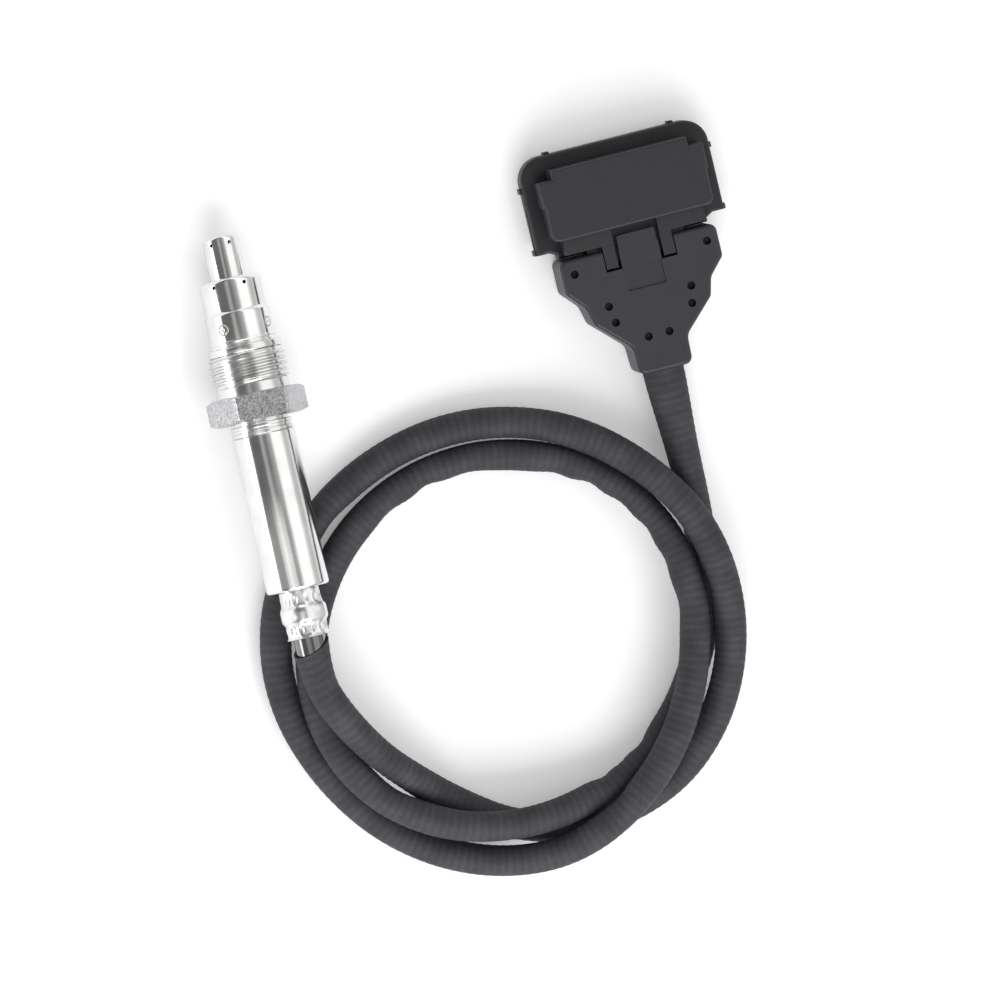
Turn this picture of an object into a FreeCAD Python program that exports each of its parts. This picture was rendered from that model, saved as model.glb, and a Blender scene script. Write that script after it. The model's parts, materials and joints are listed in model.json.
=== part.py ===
import FreeCAD, Part
import math
import os
import Sketcher

# Nitrogen oxide sensor: a stainless probe with a captive fitting nut, a sleeved
# cable laid in loose loops and a moulded plug. Millimetres, +Z up, floor at zero.
# The probe lies along Y with its tip towards +Y, and its rear end rests on the cable.

doc = FreeCAD.newDocument("nitrogen_oxide_sensor")
sheet = doc.addObject("Spreadsheet::Sheet", "Sizes")

PROBE_SIZES = [
    # protective tubes at the gas end
    ("tip_length", 10.65),
    ("tip_diameter", 9.2),
    ("tip_wall", 0.4),
    ("tip_rounding", 0.9),
    ("tip_foot_thickness", 0.4),
    ("tip_vent_inset", 2.0),
    ("tip_vent_turn", 20.5),
    ("shield_length", 8.5),
    ("shield_diameter", 15.6),
    ("shield_wall", 0.5),
    ("shield_rounding", 1.3),
    ("collar_length", 7.05),
    ("collar_diameter", 16.6),
    ("shield_vent_inset", 1.9),
    ("shield_vent_turn", 20.5),
    ("vent_diameter", 0.95),
    ("vent_count", 6),
    # sealing ring, housing and its flange
    ("gasket_length", 1.6),
    ("gasket_diameter", 17.4),
    ("gasket_waist", 0.45),
    ("gasket_groove", 0.4),
    ("gasket_rounding", 0.25),
    ("flange_length", 1.8),
    ("flange_diameter", 18.7),
    ("spigot_length", 6.0),
    ("neck_diameter", 14.0),
    ("housing_tail", 12.0),
    ("housing_bore", 11.0),
    ("housing_throat", 5.8),
    ("throat_length", 4.0),
    # captive fitting nut, metric thread of 20 mm
    ("nut_front_gap", 0.1),
    ("nut_play", 0.5),
    ("running_gap", 0.08),
    ("thread_diameter", 20.0),
    ("thread_length", 8.05),
    ("thread_lead_in", 0.9),
    ("shank_diameter", 18.6),
    ("shank_length", 3.25),
    ("hex_across_flats", 22.0),
    ("hex_length", 6.1),
    ("hex_chamfer", 0.7),
    ("nut_turn", 0.0),
    # retaining collar and outer sleeve
    ("retainer_diameter", 15.5),
    ("retainer_length", 2.9),
    ("retainer_spigot", 4.5),
    ("sleeve_diameter", 16.0),
    ("sleeve_wall", 0.6),
    ("sleeve_length", 39.8),
    ("sleeve_rounding", 1.2),
    ("sleeve_mouth", 13.4),
    # crimped ferrule and the cable's boot
    ("ferrule_wall", 0.5),
    ("ferrule_depth", 7.0),
    ("ferrule_lip", 1.1),
    ("crimp_diameter", 10.2),
    ("crimp_row_length", 2.6),
    ("bulge_diameter", 12.1),
    ("bulge_length", 3.2),
    ("ramp_length", 0.9),
    ("flare_diameter", 11.4),
    ("flare_length", 0.9),
    ("dent_width", 0.8),
    ("dent_depth", 0.3),
    ("dent_length", 1.9),
    ("dent_count", 14),
    ("boot_diameter", 8.0),
    ("boot_depth", 3.0),
    ("boot_length", 3.6),
    # ceramic parts, packing and leads
    ("seat_gap", 0.05),
    ("element_width", 4.2),
    ("element_thickness", 1.3),
    ("element_inset", 4.5),
    ("element_length", 70.0),
    ("slot_gap", 0.1),
    ("front_insulator_length", 7.0),
    ("talc_length", 5.0),
    ("rear_insulator_length", 9.0),
    ("clamp_ring_length", 2.0),
    ("clamp_ring_width", 1.6),
    ("insulator_chamfer", 0.6),
    ("holder_gap", 1.5),
    ("holder_length", 13.0),
    ("holder_diameter", 12.6),
    ("holder_window", 3.9),
    ("spring_clip_thickness", 0.4),
    ("spring_clip_length", 6.0),
    ("contact_count", 4),
    ("contact_pitch", 1.0),
    ("contact_width", 0.6),
    ("contact_thickness", 0.3),
    ("contact_bow", 0.9),
    ("contact_length", 11.0),
    ("contact_flat", 3.3),
    ("lead_count", 8),
    ("lead_diameter", 1.3),
    ("lead_circle", 5.6),
    ("grommet_length", 14.0),
    # how far a cut runs past the face that it opens
    ("cut_past", 1.0),
    # the probe leans up from its nut to the cable that its sleeve lies on
    ("probe_tilt", 6.7),
]

CABLE_SIZES = [
    ("cable_diameter", 8.0),
    ("exit_run", 8.0),
    ("entry_run", 23.7),
]

PLUG_SIZES = [
    # place of the plug's centre line on the floor
    ("plug_across", 103.6),
    ("plug_along", 5.75),
    ("plug_turn", 2.05),
    # cover in two halves
    ("cover_height", 12.4),
    ("cover_wall", 1.8),
    ("cover_rear", 9.3),
    ("cover_front", 23.75),
    ("neck_half_width", 6.95),
    ("neck_top", -2.0),
    ("neck_top_half_width", 7.25),
    ("hip_half_width", 15.4),
    ("hip_along", 5.95),
    ("waist_half_width", 16.6),
    ("waist_along", 10.7),
    ("cover_half_width", 20.7),
    ("shoulder_along", 15.15),
    ("cover_corner", 2.0),
    ("cover_waist_round", 3.5),
    ("cover_edge", 1.0),
    ("room_neck_half", 1.9),
    ("room_neck_end", 1.6),
    ("room_throat_half", 3.9),
    ("room_hip_half", 8.4),
    ("room_hip_along", 6.5),
    ("room_waist_half", 8.8),
    ("room_waist_along", 13.0),
    ("room_front_half", 12.7),
    ("room_front_along", 17.0),
    ("peg_rear_across", 2.75),
    ("peg_hip_across", 10.1),
    ("peg_hip_along", 5.45),
    ("peg_waist_across", 10.9),
    ("peg_waist_along", 9.8),
    ("peg_front_across", 17.5),
    ("peg_front_along", 19.8),
    ("peg_root", 1.0),
    ("peg_diameter", 1.8),
    ("peg_hole_diameter", 2.1),
    ("peg_sink", 1.0),
    ("clip_length", 4.0),
    ("clip_thickness", 0.6),
    ("clip_inset", 2.0),
    ("cable_inset", 7.2),
    ("cable_gap", 0.1),
    ("tongue_half_width", 5.0),
    ("tongue_reach", 2.9),
    ("thumb_length", 6.0),
    ("thumb_depth", 0.4),
    ("arm_slot_inner", 5.2),
    ("arm_slot_outer", 9.4),
    ("arm_slot_depth", 5.5),
    # plug body
    ("block_along", 28.8),
    ("block_length", 18.0),
    ("block_half_width", 21.7),
    ("block_top", 15.0),
    ("block_edge", 0.6),
    ("block_corner", 2.0),
    ("notch_width", 3.8),
    ("notch_length", 2.4),
    ("step_length", 9.0),
    ("step_depth", 0.5),
    ("skirt_half_width", 18.45),
    ("skirt_length", 3.85),
    ("skirt_top", 12.8),
    ("arm_centre", 7.55),
    ("arm_width", 3.1),
    ("arm_thickness", 2.6),
    ("arm_length", 9.9),
    ("tail_half_width", 12.75),
    ("tail_length", 8.6),
    ("tail_thickness", 2.2),
    ("socket_wall", 1.6),
    ("socket_depth", 6.0),
    ("pins_in_row", 4),
    ("pin_diameter", 1.1),
    ("pin_hole_depth", 2.0),
    ("pin_pitch", 8.6),
    ("pin_row_gap", 6.4),
    ("pin_recess", 1.2),
    # flange and its seal
    ("plate_rear", 26.15),
    ("plate_front", 50.5),
    ("plate_half_width", 24.75),
    ("plate_corner", 6.2),
    ("plate_tab_rear", 24.1),
    ("plate_tab_half", 19.8),
    ("plate_tab_slope", 1.8),
    ("plate_tab_drop", 1.0),
    ("snap_reach", 0.6),
    ("snap_width", 1.4),
    ("snap_height", 3.2),
    ("snap_root", 1.0),
    ("snap_side_along", 42.9),
    ("snap_rear_along", 26.9),
    ("snap_front_across", 16.4),
    ("plate_bottom", 3.5),
    ("plate_top", 8.0),
    ("plate_edge", 0.8),
    ("seal_width", 1.8),
    ("seal_thickness", 1.2),
    # leads inside the cover
    ("core_diameter", 2.6),
    ("core_end", 1.9),
    ("fan_diameter", 0.9),
    ("fan_pitch", 2.9),
    ("fan_gap", 0.25),
]

for row, (alias, number) in enumerate(PROBE_SIZES + CABLE_SIZES + PLUG_SIZES, start=1):
    sheet.set("A%d" % row, alias)
    sheet.set("B%d" % row, str(number))
    sheet.setAlias("B%d" % row, alias)
doc.recompute()


def sums(*names):
    """An expression that adds named sizes."""
    return " + ".join("Sizes." + name for name in names)


def half(name):
    return "Sizes.%s / 2" % name


def value(expression):
    """The number that an expression on the sheet stands for."""
    found = sheet.evalExpression(str(expression))
    return float(getattr(found, "Value", found))


# Stations along the probe, counted from the tip's end face.
AT_SHOULDER = sums("tip_length")
AT_COLLAR = sums("tip_length", "shield_length")
AT_GASKET = sums("tip_length", "shield_length", "collar_length")
AT_FLANGE = AT_GASKET + " + " + sums("gasket_length")
AT_NUT = AT_FLANGE + " + " + sums("flange_length", "nut_front_gap")
AT_SHANK = AT_NUT + " + " + sums("thread_length")
AT_HEX = AT_SHANK + " + " + sums("shank_length")
AT_RETAINER = AT_HEX + " + " + sums("hex_length", "nut_play")
AT_SLEEVE = AT_RETAINER + " + " + sums("retainer_length")
AT_SLEEVE_END = AT_SLEEVE + " + " + sums("sleeve_length")
AT_HOUSING = AT_GASKET + " - Sizes.spigot_length"
AT_HOUSING_END = AT_SLEEVE + " + " + sums("housing_tail")


def sketch_on(body, name, plane, lift="0"):
    """A sketch on one of the body's own planes, raised along its normal."""
    sketch = body.newObject("Sketcher::SketchObject", name)
    for feature in body.Origin.OriginFeatures:
        if feature.Role == plane:
            sketch.AttachmentSupport = (feature, [""])
    sketch.MapMode = "FlatFace"
    sketch.setExpression(".AttachmentOffset.Base.z", lift)
    return sketch


def bind(sketch, index, name, expression):
    """Give a sketch constraint a name and tie it to the sheet."""
    sketch.renameConstraint(index, name)
    sketch.setExpression("Constraints." + name, str(expression))


def add_outline(sketch, corners, tag="p"):
    """A closed outline whose corners stand at expressions from the sketch's origin."""
    points = [FreeCAD.Vector(value(across), value(up), 0) for across, up in corners]
    first = sketch.GeometryCount
    for here, there in zip(points, points[1:] + points[:1]):
        sketch.addGeometry(Part.LineSegment(here, there), False)
    for number in range(len(points)):
        line = first + number
        following = first + (number + 1) % len(points)
        sketch.addConstraint(Sketcher.Constraint("Coincident", line, 2, following, 1))
    for number, (across, up) in enumerate(corners):
        line = first + number
        at_x = sketch.addConstraint(
            Sketcher.Constraint("DistanceX", -1, 1, line, 1, points[number].x))
        bind(sketch, at_x, "%s%d_x" % (tag, number), across)
        at_y = sketch.addConstraint(
            Sketcher.Constraint("DistanceY", -1, 1, line, 1, points[number].y))
        bind(sketch, at_y, "%s%d_y" % (tag, number), up)


def add_circle(sketch, across, up, radius, tag="c"):
    """A circle whose centre and radius are expressions."""
    centre = FreeCAD.Vector(value(across), value(up), 0)
    shape = Part.Circle(centre, FreeCAD.Vector(0, 0, 1), value(radius))
    number = sketch.addGeometry(shape, False)
    at_x = sketch.addConstraint(Sketcher.Constraint("DistanceX", -1, 1, number, 3, centre.x))
    bind(sketch, at_x, tag + "_x", across)
    at_y = sketch.addConstraint(Sketcher.Constraint("DistanceY", -1, 1, number, 3, centre.y))
    bind(sketch, at_y, tag + "_y", up)
    size = sketch.addConstraint(Sketcher.Constraint("Radius", number, value(radius)))
    bind(sketch, size, tag + "_r", radius)


def rectangle(left, low, right, high):
    return [(left, low), (right, low), (right, high), (left, high)]


def new_body(name):
    body = doc.addObject("PartDesign::Body", name)
    body.Label = name
    return body


def turn(body, name, corners, kind="PartDesign::Revolution"):
    """Revolve an outline of (station, radius) corners about the probe's axis."""
    sketch = sketch_on(body, name + "_outline", "XY_Plane")
    add_outline(sketch, corners)
    feature = body.newObject(kind, name)
    feature.Profile = sketch
    feature.ReferenceAxis = (sketch, ["H_Axis"])
    feature.Angle = 360
    body.Tip = feature
    doc.recompute()
    return feature


def pad(body, name, sketch, length, reverse=False):
    feature = body.newObject("PartDesign::Pad", name)
    feature.Profile = sketch
    feature.setExpression("Length", length)
    feature.Reversed = reverse
    body.Tip = feature
    doc.recompute()
    return feature


def pocket(body, name, sketch, length, reverse=False):
    """Cut a sketch into the body, and make sure that it took material away."""
    before = body.Shape.Volume
    feature = body.newObject("PartDesign::Pocket", name)
    feature.Profile = sketch
    feature.setExpression("Length", length)
    feature.Reversed = reverse
    body.Tip = feature
    doc.recompute()
    if body.Shape.Volume > before - 1e-6:
        raise RuntimeError("%s removes nothing" % name)
    return feature


def repeat_round(body, name, feature, count):
    """Repeat a feature around the probe's axis."""
    pattern = body.newObject("PartDesign::PolarPattern", name)
    pattern.Originals = [feature]
    pattern.Axis = (feature.Profile[0], ["H_Axis"])
    pattern.Angle = 360
    pattern.setExpression("Occurrences", count)
    body.Tip = pattern
    doc.recompute()
    return pattern


def soften(body, name, feature, radius, chosen, kind="PartDesign::Fillet"):
    """Round or bevel the edges of a feature that a test picks out."""
    names = ["Edge%d" % (number + 1) for number, edge in enumerate(feature.Shape.Edges)
             if chosen(edge)]
    if not names:
        raise RuntimeError("%s finds no edge" % name)
    finish = body.newObject(kind, name)
    finish.Base = (feature, names)
    finish.setExpression("Radius" if kind.endswith("Fillet") else "Size", radius)
    body.Tip = finish
    doc.recompute()
    return finish


def ring_at(station, radius):
    """A test for the circular edge of a turned piece at a station and radius."""
    where, size = value(station), value(radius)

    def chosen(edge):
        curve = edge.Curve
        return (isinstance(curve, Part.Circle) and abs(curve.Center.x - where) < 1e-4
                and abs(curve.Radius - size) < 1e-4)
    return chosen


# Gas end: the inner tube stands out of the outer shield's shoulder.
tip_radius = half("tip_diameter")
tip_inner = tip_radius + " - Sizes.tip_wall"
tip_shield = new_body("tip_shield")
tip_turned = turn(tip_shield, "tip_turned", [
    ("0", "0"), ("0", tip_radius),
    (AT_HOUSING + " - Sizes.tip_foot_thickness", tip_radius),
    (AT_HOUSING + " - Sizes.tip_foot_thickness", half("shield_diameter") + " - Sizes.shield_wall"),
    (AT_HOUSING, half("shield_diameter") + " - Sizes.shield_wall"),
    (AT_HOUSING, tip_inner), ("Sizes.tip_wall", tip_inner), ("Sizes.tip_wall", "0")])
tip_rounded = soften(tip_shield, "tip_rounded", tip_turned, "Sizes.tip_rounding",
                     ring_at("0", tip_radius))


def vent_ring(body, name, station, radius):
    """A ring of small gas holes, cut outwards through one wall."""
    sketch = sketch_on(body, name + "_place", "XY_Plane")
    add_circle(sketch, station, "0", half("vent_diameter"))
    hole = pocket(body, name, sketch, radius + " + Sizes.cut_past", reverse=True)
    return repeat_round(body, name + "s", hole, "Sizes.vent_count")


vent_ring(tip_shield, "tip_vent", "Sizes.tip_vent_inset", tip_radius)

# Outer shield: one drawn cap, wider where it is welded to the housing's spigot.
shield_radius = half("shield_diameter")
collar_radius = half("collar_diameter")
outer_shield = new_body("outer_shield")
shield_turned = turn(outer_shield, "shield_turned", [
    (AT_SHOULDER, tip_radius + " + Sizes.seat_gap"), (AT_SHOULDER, shield_radius),
    (AT_COLLAR, shield_radius), (AT_COLLAR + " + Sizes.shield_wall", collar_radius),
    (AT_GASKET, collar_radius), (AT_GASKET, collar_radius + " - Sizes.shield_wall"),
    (AT_COLLAR + " + Sizes.shield_wall", collar_radius + " - Sizes.shield_wall"),
    (AT_COLLAR + " + Sizes.shield_wall", shield_radius + " - Sizes.shield_wall"),
    (AT_SHOULDER + " + Sizes.shield_wall", shield_radius + " - Sizes.shield_wall"),
    (AT_SHOULDER + " + Sizes.shield_wall", tip_radius + " + Sizes.seat_gap")])
shield_rounded = soften(outer_shield, "shield_rounded", shield_turned, "Sizes.shield_rounding",
                        ring_at(AT_SHOULDER, shield_radius))
vent_ring(outer_shield, "shield_vent", AT_SHOULDER + " + Sizes.shield_vent_inset", shield_radius)

# Housing: spigot for the shield, sealing flange, neck for the nut, bore for the ceramics.
spigot_radius = collar_radius + " - Sizes.shield_wall - Sizes.seat_gap"
flange_radius = half("flange_diameter")
neck_radius = half("neck_diameter")
bore_radius = half("housing_bore")
throat_radius = half("housing_throat")
housing = new_body("housing")
turn(housing, "housing_turned", [
    (AT_HOUSING, throat_radius), (AT_HOUSING, spigot_radius),
    (AT_FLANGE, spigot_radius), (AT_FLANGE, flange_radius),
    (AT_FLANGE + " + Sizes.flange_length", flange_radius),
    (AT_FLANGE + " + Sizes.flange_length", neck_radius),
    (AT_HOUSING_END, neck_radius), (AT_HOUSING_END, bore_radius),
    (AT_HOUSING + " + Sizes.throat_length", bore_radius),
    (AT_HOUSING + " + Sizes.throat_length", throat_radius)])

# Sealing ring in front of the flange, folded from sheet, with a waist between its two rims.
gasket_radius = half("gasket_diameter")
gasket_middle = AT_GASKET + " + Sizes.gasket_length / 2"
gasket = new_body("gasket")
gasket_turned = turn(gasket, "gasket_turned", [
    (AT_GASKET, spigot_radius + " + Sizes.seat_gap"), (AT_GASKET, gasket_radius),
    (gasket_middle + " - Sizes.gasket_groove / 2", gasket_radius),
    (gasket_middle, gasket_radius + " - Sizes.gasket_waist"),
    (gasket_middle + " + Sizes.gasket_groove / 2", gasket_radius),
    (AT_FLANGE, gasket_radius), (AT_FLANGE, spigot_radius + " + Sizes.seat_gap")])
soften(gasket, "gasket_rounded", gasket_turned, "Sizes.gasket_rounding",
       lambda edge: (ring_at(AT_GASKET, gasket_radius)(edge)
                     or ring_at(AT_FLANGE, gasket_radius)(edge)))

# Captive nut: turned thread and shank, forged hexagon, running bore.
nut_radius = neck_radius + " + Sizes.running_gap"
thread_radius = half("thread_diameter")
shank_radius = half("shank_diameter")
fitting_nut = new_body("fitting_nut")
turn(fitting_nut, "nut_turned", [
    (AT_NUT, nut_radius), (AT_NUT, thread_radius + " - Sizes.thread_lead_in"),
    (AT_NUT + " + Sizes.thread_lead_in", thread_radius), (AT_SHANK, thread_radius),
    (AT_SHANK, shank_radius), (AT_HEX, shank_radius), (AT_HEX, nut_radius)])
hex_sketch = sketch_on(fitting_nut, "hexagon", "YZ_Plane", AT_HEX)
flat = half("hex_across_flats")
# Corners of the hexagon with one flat facing up and one facing down.
corner_out = "Sizes.hex_across_flats / sqrt(3)"
add_outline(hex_sketch, [
    (corner_out, "0"), (corner_out + " / 2", flat), ("-1 * " + corner_out + " / 2", flat),
    ("-1 * " + corner_out, "0"), ("-1 * " + corner_out + " / 2", "-1 * " + flat),
    (corner_out + " / 2", "-1 * " + flat)])
pad(fitting_nut, "hex_pad", hex_sketch, "Sizes.hex_length")
hex_end = AT_HEX + " + Sizes.hex_length"
chamfer_reach = corner_out + " + Sizes.cut_past"
corner_width = "(%s - %s)" % (corner_out, flat)
chamfer_depth = "Sizes.hex_chamfer * (%s + Sizes.cut_past) / %s" % (corner_width, corner_width)
turn(fitting_nut, "hex_front_chamfer", [
    (AT_HEX, flat), (AT_HEX, chamfer_reach),
    (AT_HEX + " + " + chamfer_depth, chamfer_reach)], "PartDesign::Groove")
turn(fitting_nut, "hex_rear_chamfer", [
    (hex_end, flat), (hex_end, chamfer_reach),
    (hex_end + " - " + chamfer_depth, chamfer_reach)], "PartDesign::Groove")
bore_sketch = sketch_on(fitting_nut, "nut_bore_place", "YZ_Plane", AT_HEX)
add_circle(bore_sketch, "0", "0", nut_radius)
pocket(fitting_nut, "nut_bore", bore_sketch, "Sizes.hex_length + Sizes.cut_past", reverse=True)

# Retaining collar behind the nut, with a spigot that the outer sleeve sits on.
retainer_radius = half("retainer_diameter")
sleeve_radius = half("sleeve_diameter")
sleeve_inner = sleeve_radius + " - Sizes.sleeve_wall"
retainer = new_body("retaining_collar")
turn(retainer, "retainer_turned", [
    (AT_RETAINER, neck_radius + " + Sizes.seat_gap"), (AT_RETAINER, retainer_radius),
    (AT_SLEEVE, retainer_radius), (AT_SLEEVE, sleeve_inner + " - Sizes.seat_gap"),
    (AT_SLEEVE + " + Sizes.retainer_spigot", sleeve_inner + " - Sizes.seat_gap"),
    (AT_SLEEVE + " + Sizes.retainer_spigot", neck_radius + " + Sizes.seat_gap")])

# Outer sleeve: thin tube with its rear end rolled in.
outer_sleeve = new_body("outer_sleeve")
mouth_radius = half("sleeve_mouth")
sleeve_turned = turn(outer_sleeve, "sleeve_turned", [
    (AT_SLEEVE, sleeve_inner), (AT_SLEEVE, sleeve_radius), (AT_SLEEVE_END, sleeve_radius),
    (AT_SLEEVE_END, mouth_radius), (AT_SLEEVE_END + " - Sizes.sleeve_wall", mouth_radius),
    (AT_SLEEVE_END + " - Sizes.sleeve_wall", sleeve_inner)])
rolled_width = "(%s - %s)" % (sleeve_radius, mouth_radius)
soften(outer_sleeve, "sleeve_rounded", sleeve_turned,
       "min(Sizes.sleeve_rounding; %s * 0.95)" % rolled_width,
       ring_at(AT_SLEEVE_END, sleeve_radius))

# Ferrule: a cap that stands out of the sleeve, crimped in two rows on the grommet.
crimp_radius = half("crimp_diameter")
bulge_radius = half("bulge_diameter")
flare_radius = half("flare_diameter")
row_one = AT_SLEEVE_END + " + Sizes.ferrule_lip"
row_one_end = row_one + " + Sizes.crimp_row_length"
bulge_start = row_one_end + " + Sizes.ramp_length"
bulge_end = bulge_start + " + Sizes.bulge_length"
row_two = bulge_end + " + Sizes.ramp_length"
row_two_end = row_two + " + Sizes.crimp_row_length"
ferrule_end = row_two_end + " + Sizes.flare_length"
ferrule_start = AT_SLEEVE_END + " - Sizes.ferrule_depth"
ferrule_inner = crimp_radius + " - Sizes.ferrule_wall"
ferrule_steps = [
    (ferrule_start, sleeve_inner + " - Sizes.seat_gap"),
    (ferrule_start + " + Sizes.ferrule_depth / 2", sleeve_inner + " - Sizes.seat_gap"),
    (ferrule_start + " + Sizes.ferrule_depth / 2 + Sizes.ramp_length", crimp_radius),
    (row_one_end, crimp_radius), (bulge_start, bulge_radius), (bulge_end, bulge_radius),
    (row_two, crimp_radius), (row_two_end, crimp_radius), (ferrule_end, flare_radius)]
ferrule = new_body("crimp_ferrule")
ferrule_wall_side = [(station, radius + " - Sizes.ferrule_wall")
                     for station, radius in reversed(ferrule_steps)]
ferrule_turned = turn(ferrule, "ferrule_turned", ferrule_steps + ferrule_wall_side)


def dent_row(name, station):
    """One row of crimp marks pressed into the ferrule all round."""
    sketch = sketch_on(ferrule, name + "_place", "XY_Plane", crimp_radius + " - Sizes.dent_depth")
    add_outline(sketch, rectangle(
        station + " - Sizes.dent_length / 2", "-1 * Sizes.dent_width / 2",
        station + " + Sizes.dent_length / 2", "Sizes.dent_width / 2"))
    mark = pocket(ferrule, name, sketch, "Sizes.dent_depth + Sizes.cut_past", reverse=True)
    repeat_round(ferrule, name + "s", mark, "Sizes.dent_count")


dent_row("front_dent", row_one + " + Sizes.crimp_row_length / 2")
dent_row("rear_dent", row_two + " + Sizes.crimp_row_length / 2")

# Boot: the cable's glossy inner tube, held in the ferrule's end.
boot_start = ferrule_end + " - Sizes.boot_depth"
boot_end = ferrule_end + " + Sizes.boot_length"
boot = new_body("cable_boot")
turn(boot, "boot_turned", [
    (boot_start, "0"), (boot_start, half("boot_diameter")),
    (boot_end, half("boot_diameter")), (boot_end, "0")])

# Ceramic stack inside the housing, from the gas end: insulator, talc, insulator, clamp ring.
stack_start = AT_HOUSING + " + Sizes.throat_length"
stack_radius = bore_radius + " - Sizes.seat_gap"


def slot_through(body, name, start, length):
    """The flat slot through a ceramic piece that the sensing element runs in."""
    sketch = sketch_on(body, name + "_place", "YZ_Plane", start)
    wide = "(Sizes.element_width / 2 + Sizes.slot_gap)"
    high = "(Sizes.element_thickness / 2 + Sizes.slot_gap)"
    add_outline(sketch, rectangle("-1 * " + wide, "-1 * " + high, wide, high))
    pocket(body, name, sketch, length, reverse=True)


def ceramic_disc(name, start, length, radius, chamfer=True):
    """A round ceramic or packing piece with the element's slot through it."""
    body = new_body(name)
    turned = turn(body, name + "_turned", [
        (start, "0"), (start, radius), (start + " + " + length, radius),
        (start + " + " + length, "0")])
    if chamfer:
        soften(body, name + "_edges", turned, "Sizes.insulator_chamfer",
               lambda edge: (ring_at(start, radius)(edge)
                             or ring_at(start + " + " + length, radius)(edge)),
               "PartDesign::Chamfer")
    slot_through(body, name + "_slot", start, length)
    return body


ceramic_disc("front_insulator", stack_start, "Sizes.front_insulator_length", stack_radius)
talc_start = stack_start + " + Sizes.front_insulator_length"
ceramic_disc("talc_packing", talc_start, "Sizes.talc_length", stack_radius, chamfer=False)
rear_start = talc_start + " + Sizes.talc_length"
ceramic_disc("rear_insulator", rear_start, "Sizes.rear_insulator_length", stack_radius)
ring_start = rear_start + " + Sizes.rear_insulator_length"
clamp_ring = new_body("clamp_ring")
turn(clamp_ring, "clamp_ring_turned", [
    (ring_start, stack_radius + " - Sizes.clamp_ring_width"), (ring_start, stack_radius),
    (ring_start + " + Sizes.clamp_ring_length", stack_radius),
    (ring_start + " + Sizes.clamp_ring_length", stack_radius + " - Sizes.clamp_ring_width")])

# Sensing element: a flat ceramic strip from the gas end to the contact holder.
element = new_body("sensing_element")
element_sketch = sketch_on(element, "element_section", "YZ_Plane", "Sizes.element_inset")
add_outline(element_sketch, rectangle(
    "-1 * Sizes.element_width / 2", "-1 * Sizes.element_thickness / 2",
    "Sizes.element_width / 2", "Sizes.element_thickness / 2"))
element_pad = pad(element, "element_strip", element_sketch, "Sizes.element_length")
soften(element, "element_edges", element_pad, "Sizes.element_thickness / 4",
       lambda edge: all(abs(vertex.X - value("Sizes.element_inset")) < 1e-6
                        for vertex in edge.Vertexes), "PartDesign::Chamfer")

# Contact holder behind the housing: a ceramic block with a window for the spring contacts.
holder_start = AT_HOUSING_END + " + Sizes.holder_gap"
holder_radius = half("holder_diameter")
holder = new_body("contact_holder")
holder_turned = turn(holder, "holder_turned", [
    (holder_start, "0"), (holder_start, holder_radius),
    (holder_start + " + Sizes.holder_length", holder_radius),
    (holder_start + " + Sizes.holder_length", "0")])
soften(holder, "holder_edges", holder_turned, "Sizes.insulator_chamfer",
       lambda edge: (ring_at(holder_start, holder_radius)(edge)
                     or ring_at(holder_start + " + Sizes.holder_length", holder_radius)(edge)),
       "PartDesign::Chamfer")
window_sketch = sketch_on(holder, "holder_window_place", "YZ_Plane", holder_start)
window_half = half("holder_window")
window_width = "Sizes.element_width / 2 + Sizes.slot_gap"
add_outline(window_sketch, rectangle("-1 * (" + window_width + ")", "-1 * " + window_half,
                                     window_width, window_half))
pocket(holder, "holder_window_cut", window_sketch, "Sizes.holder_length", reverse=True)

# Spring clip round the holder, which keeps it centred in the outer sleeve.
clip_middle = holder_start + " + Sizes.holder_length / 2"
clip_rim_front = clip_middle + " - Sizes.spring_clip_length / 2"
clip_rim_rear = clip_middle + " + Sizes.spring_clip_length / 2"
clip_seat = holder_radius + " + Sizes.seat_gap"
spring_clip = new_body("spring_clip")
turn(spring_clip, "spring_clip_turned", [
    (clip_rim_front, clip_seat), (clip_rim_front, clip_seat + " + Sizes.spring_clip_thickness"),
    (clip_middle, sleeve_inner + " - Sizes.seat_gap"),
    (clip_rim_rear, clip_seat + " + Sizes.spring_clip_thickness"), (clip_rim_rear, clip_seat),
    (clip_middle, sleeve_inner + " - Sizes.seat_gap - Sizes.spring_clip_thickness")])

# Spring contacts: four bowed strips on each face of the element's tail.
contacts = new_body("contacts")
contacts.AllowCompound = True
contact_start = holder_start + " + Sizes.holder_length - Sizes.contact_length"
touch = "Sizes.element_thickness / 2"
strip = "Sizes.contact_thickness"
contact_middle = contact_start + " + Sizes.contact_length / 2"
contact_end = contact_start + " + Sizes.contact_length"
upper = [(contact_start, touch + " + Sizes.contact_bow"),
         (contact_middle + " - Sizes.contact_flat / 2", touch),
         (contact_middle + " + Sizes.contact_flat / 2", touch),
         (contact_end, touch + " + Sizes.contact_bow")]
upper_back = [(station, height + " + " + strip) for station, height in reversed(upper)]
lower = [(station, "-1 * (" + height + ")") for station, height in upper + upper_back]
for number in range(int(value("Sizes.contact_count"))):
    step = "(%d - (Sizes.contact_count - 1) / 2)" % number
    shift = "Sizes.contact_pitch * " + step + " - Sizes.contact_width / 2"
    strip_sketch = sketch_on(contacts, "contact_pair_%d" % (number + 1), "XZ_Plane", shift)
    add_outline(strip_sketch, upper + upper_back, "u")
    add_outline(strip_sketch, lower, "l")
    pad(contacts, "contact_strips_%d" % (number + 1), strip_sketch, "Sizes.contact_width")

# Leads from the holder through the grommet to the boot.
grommet_end = boot_start
grommet_start = grommet_end + " - Sizes.grommet_length"
lead_start = holder_start + " + Sizes.holder_length"


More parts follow.
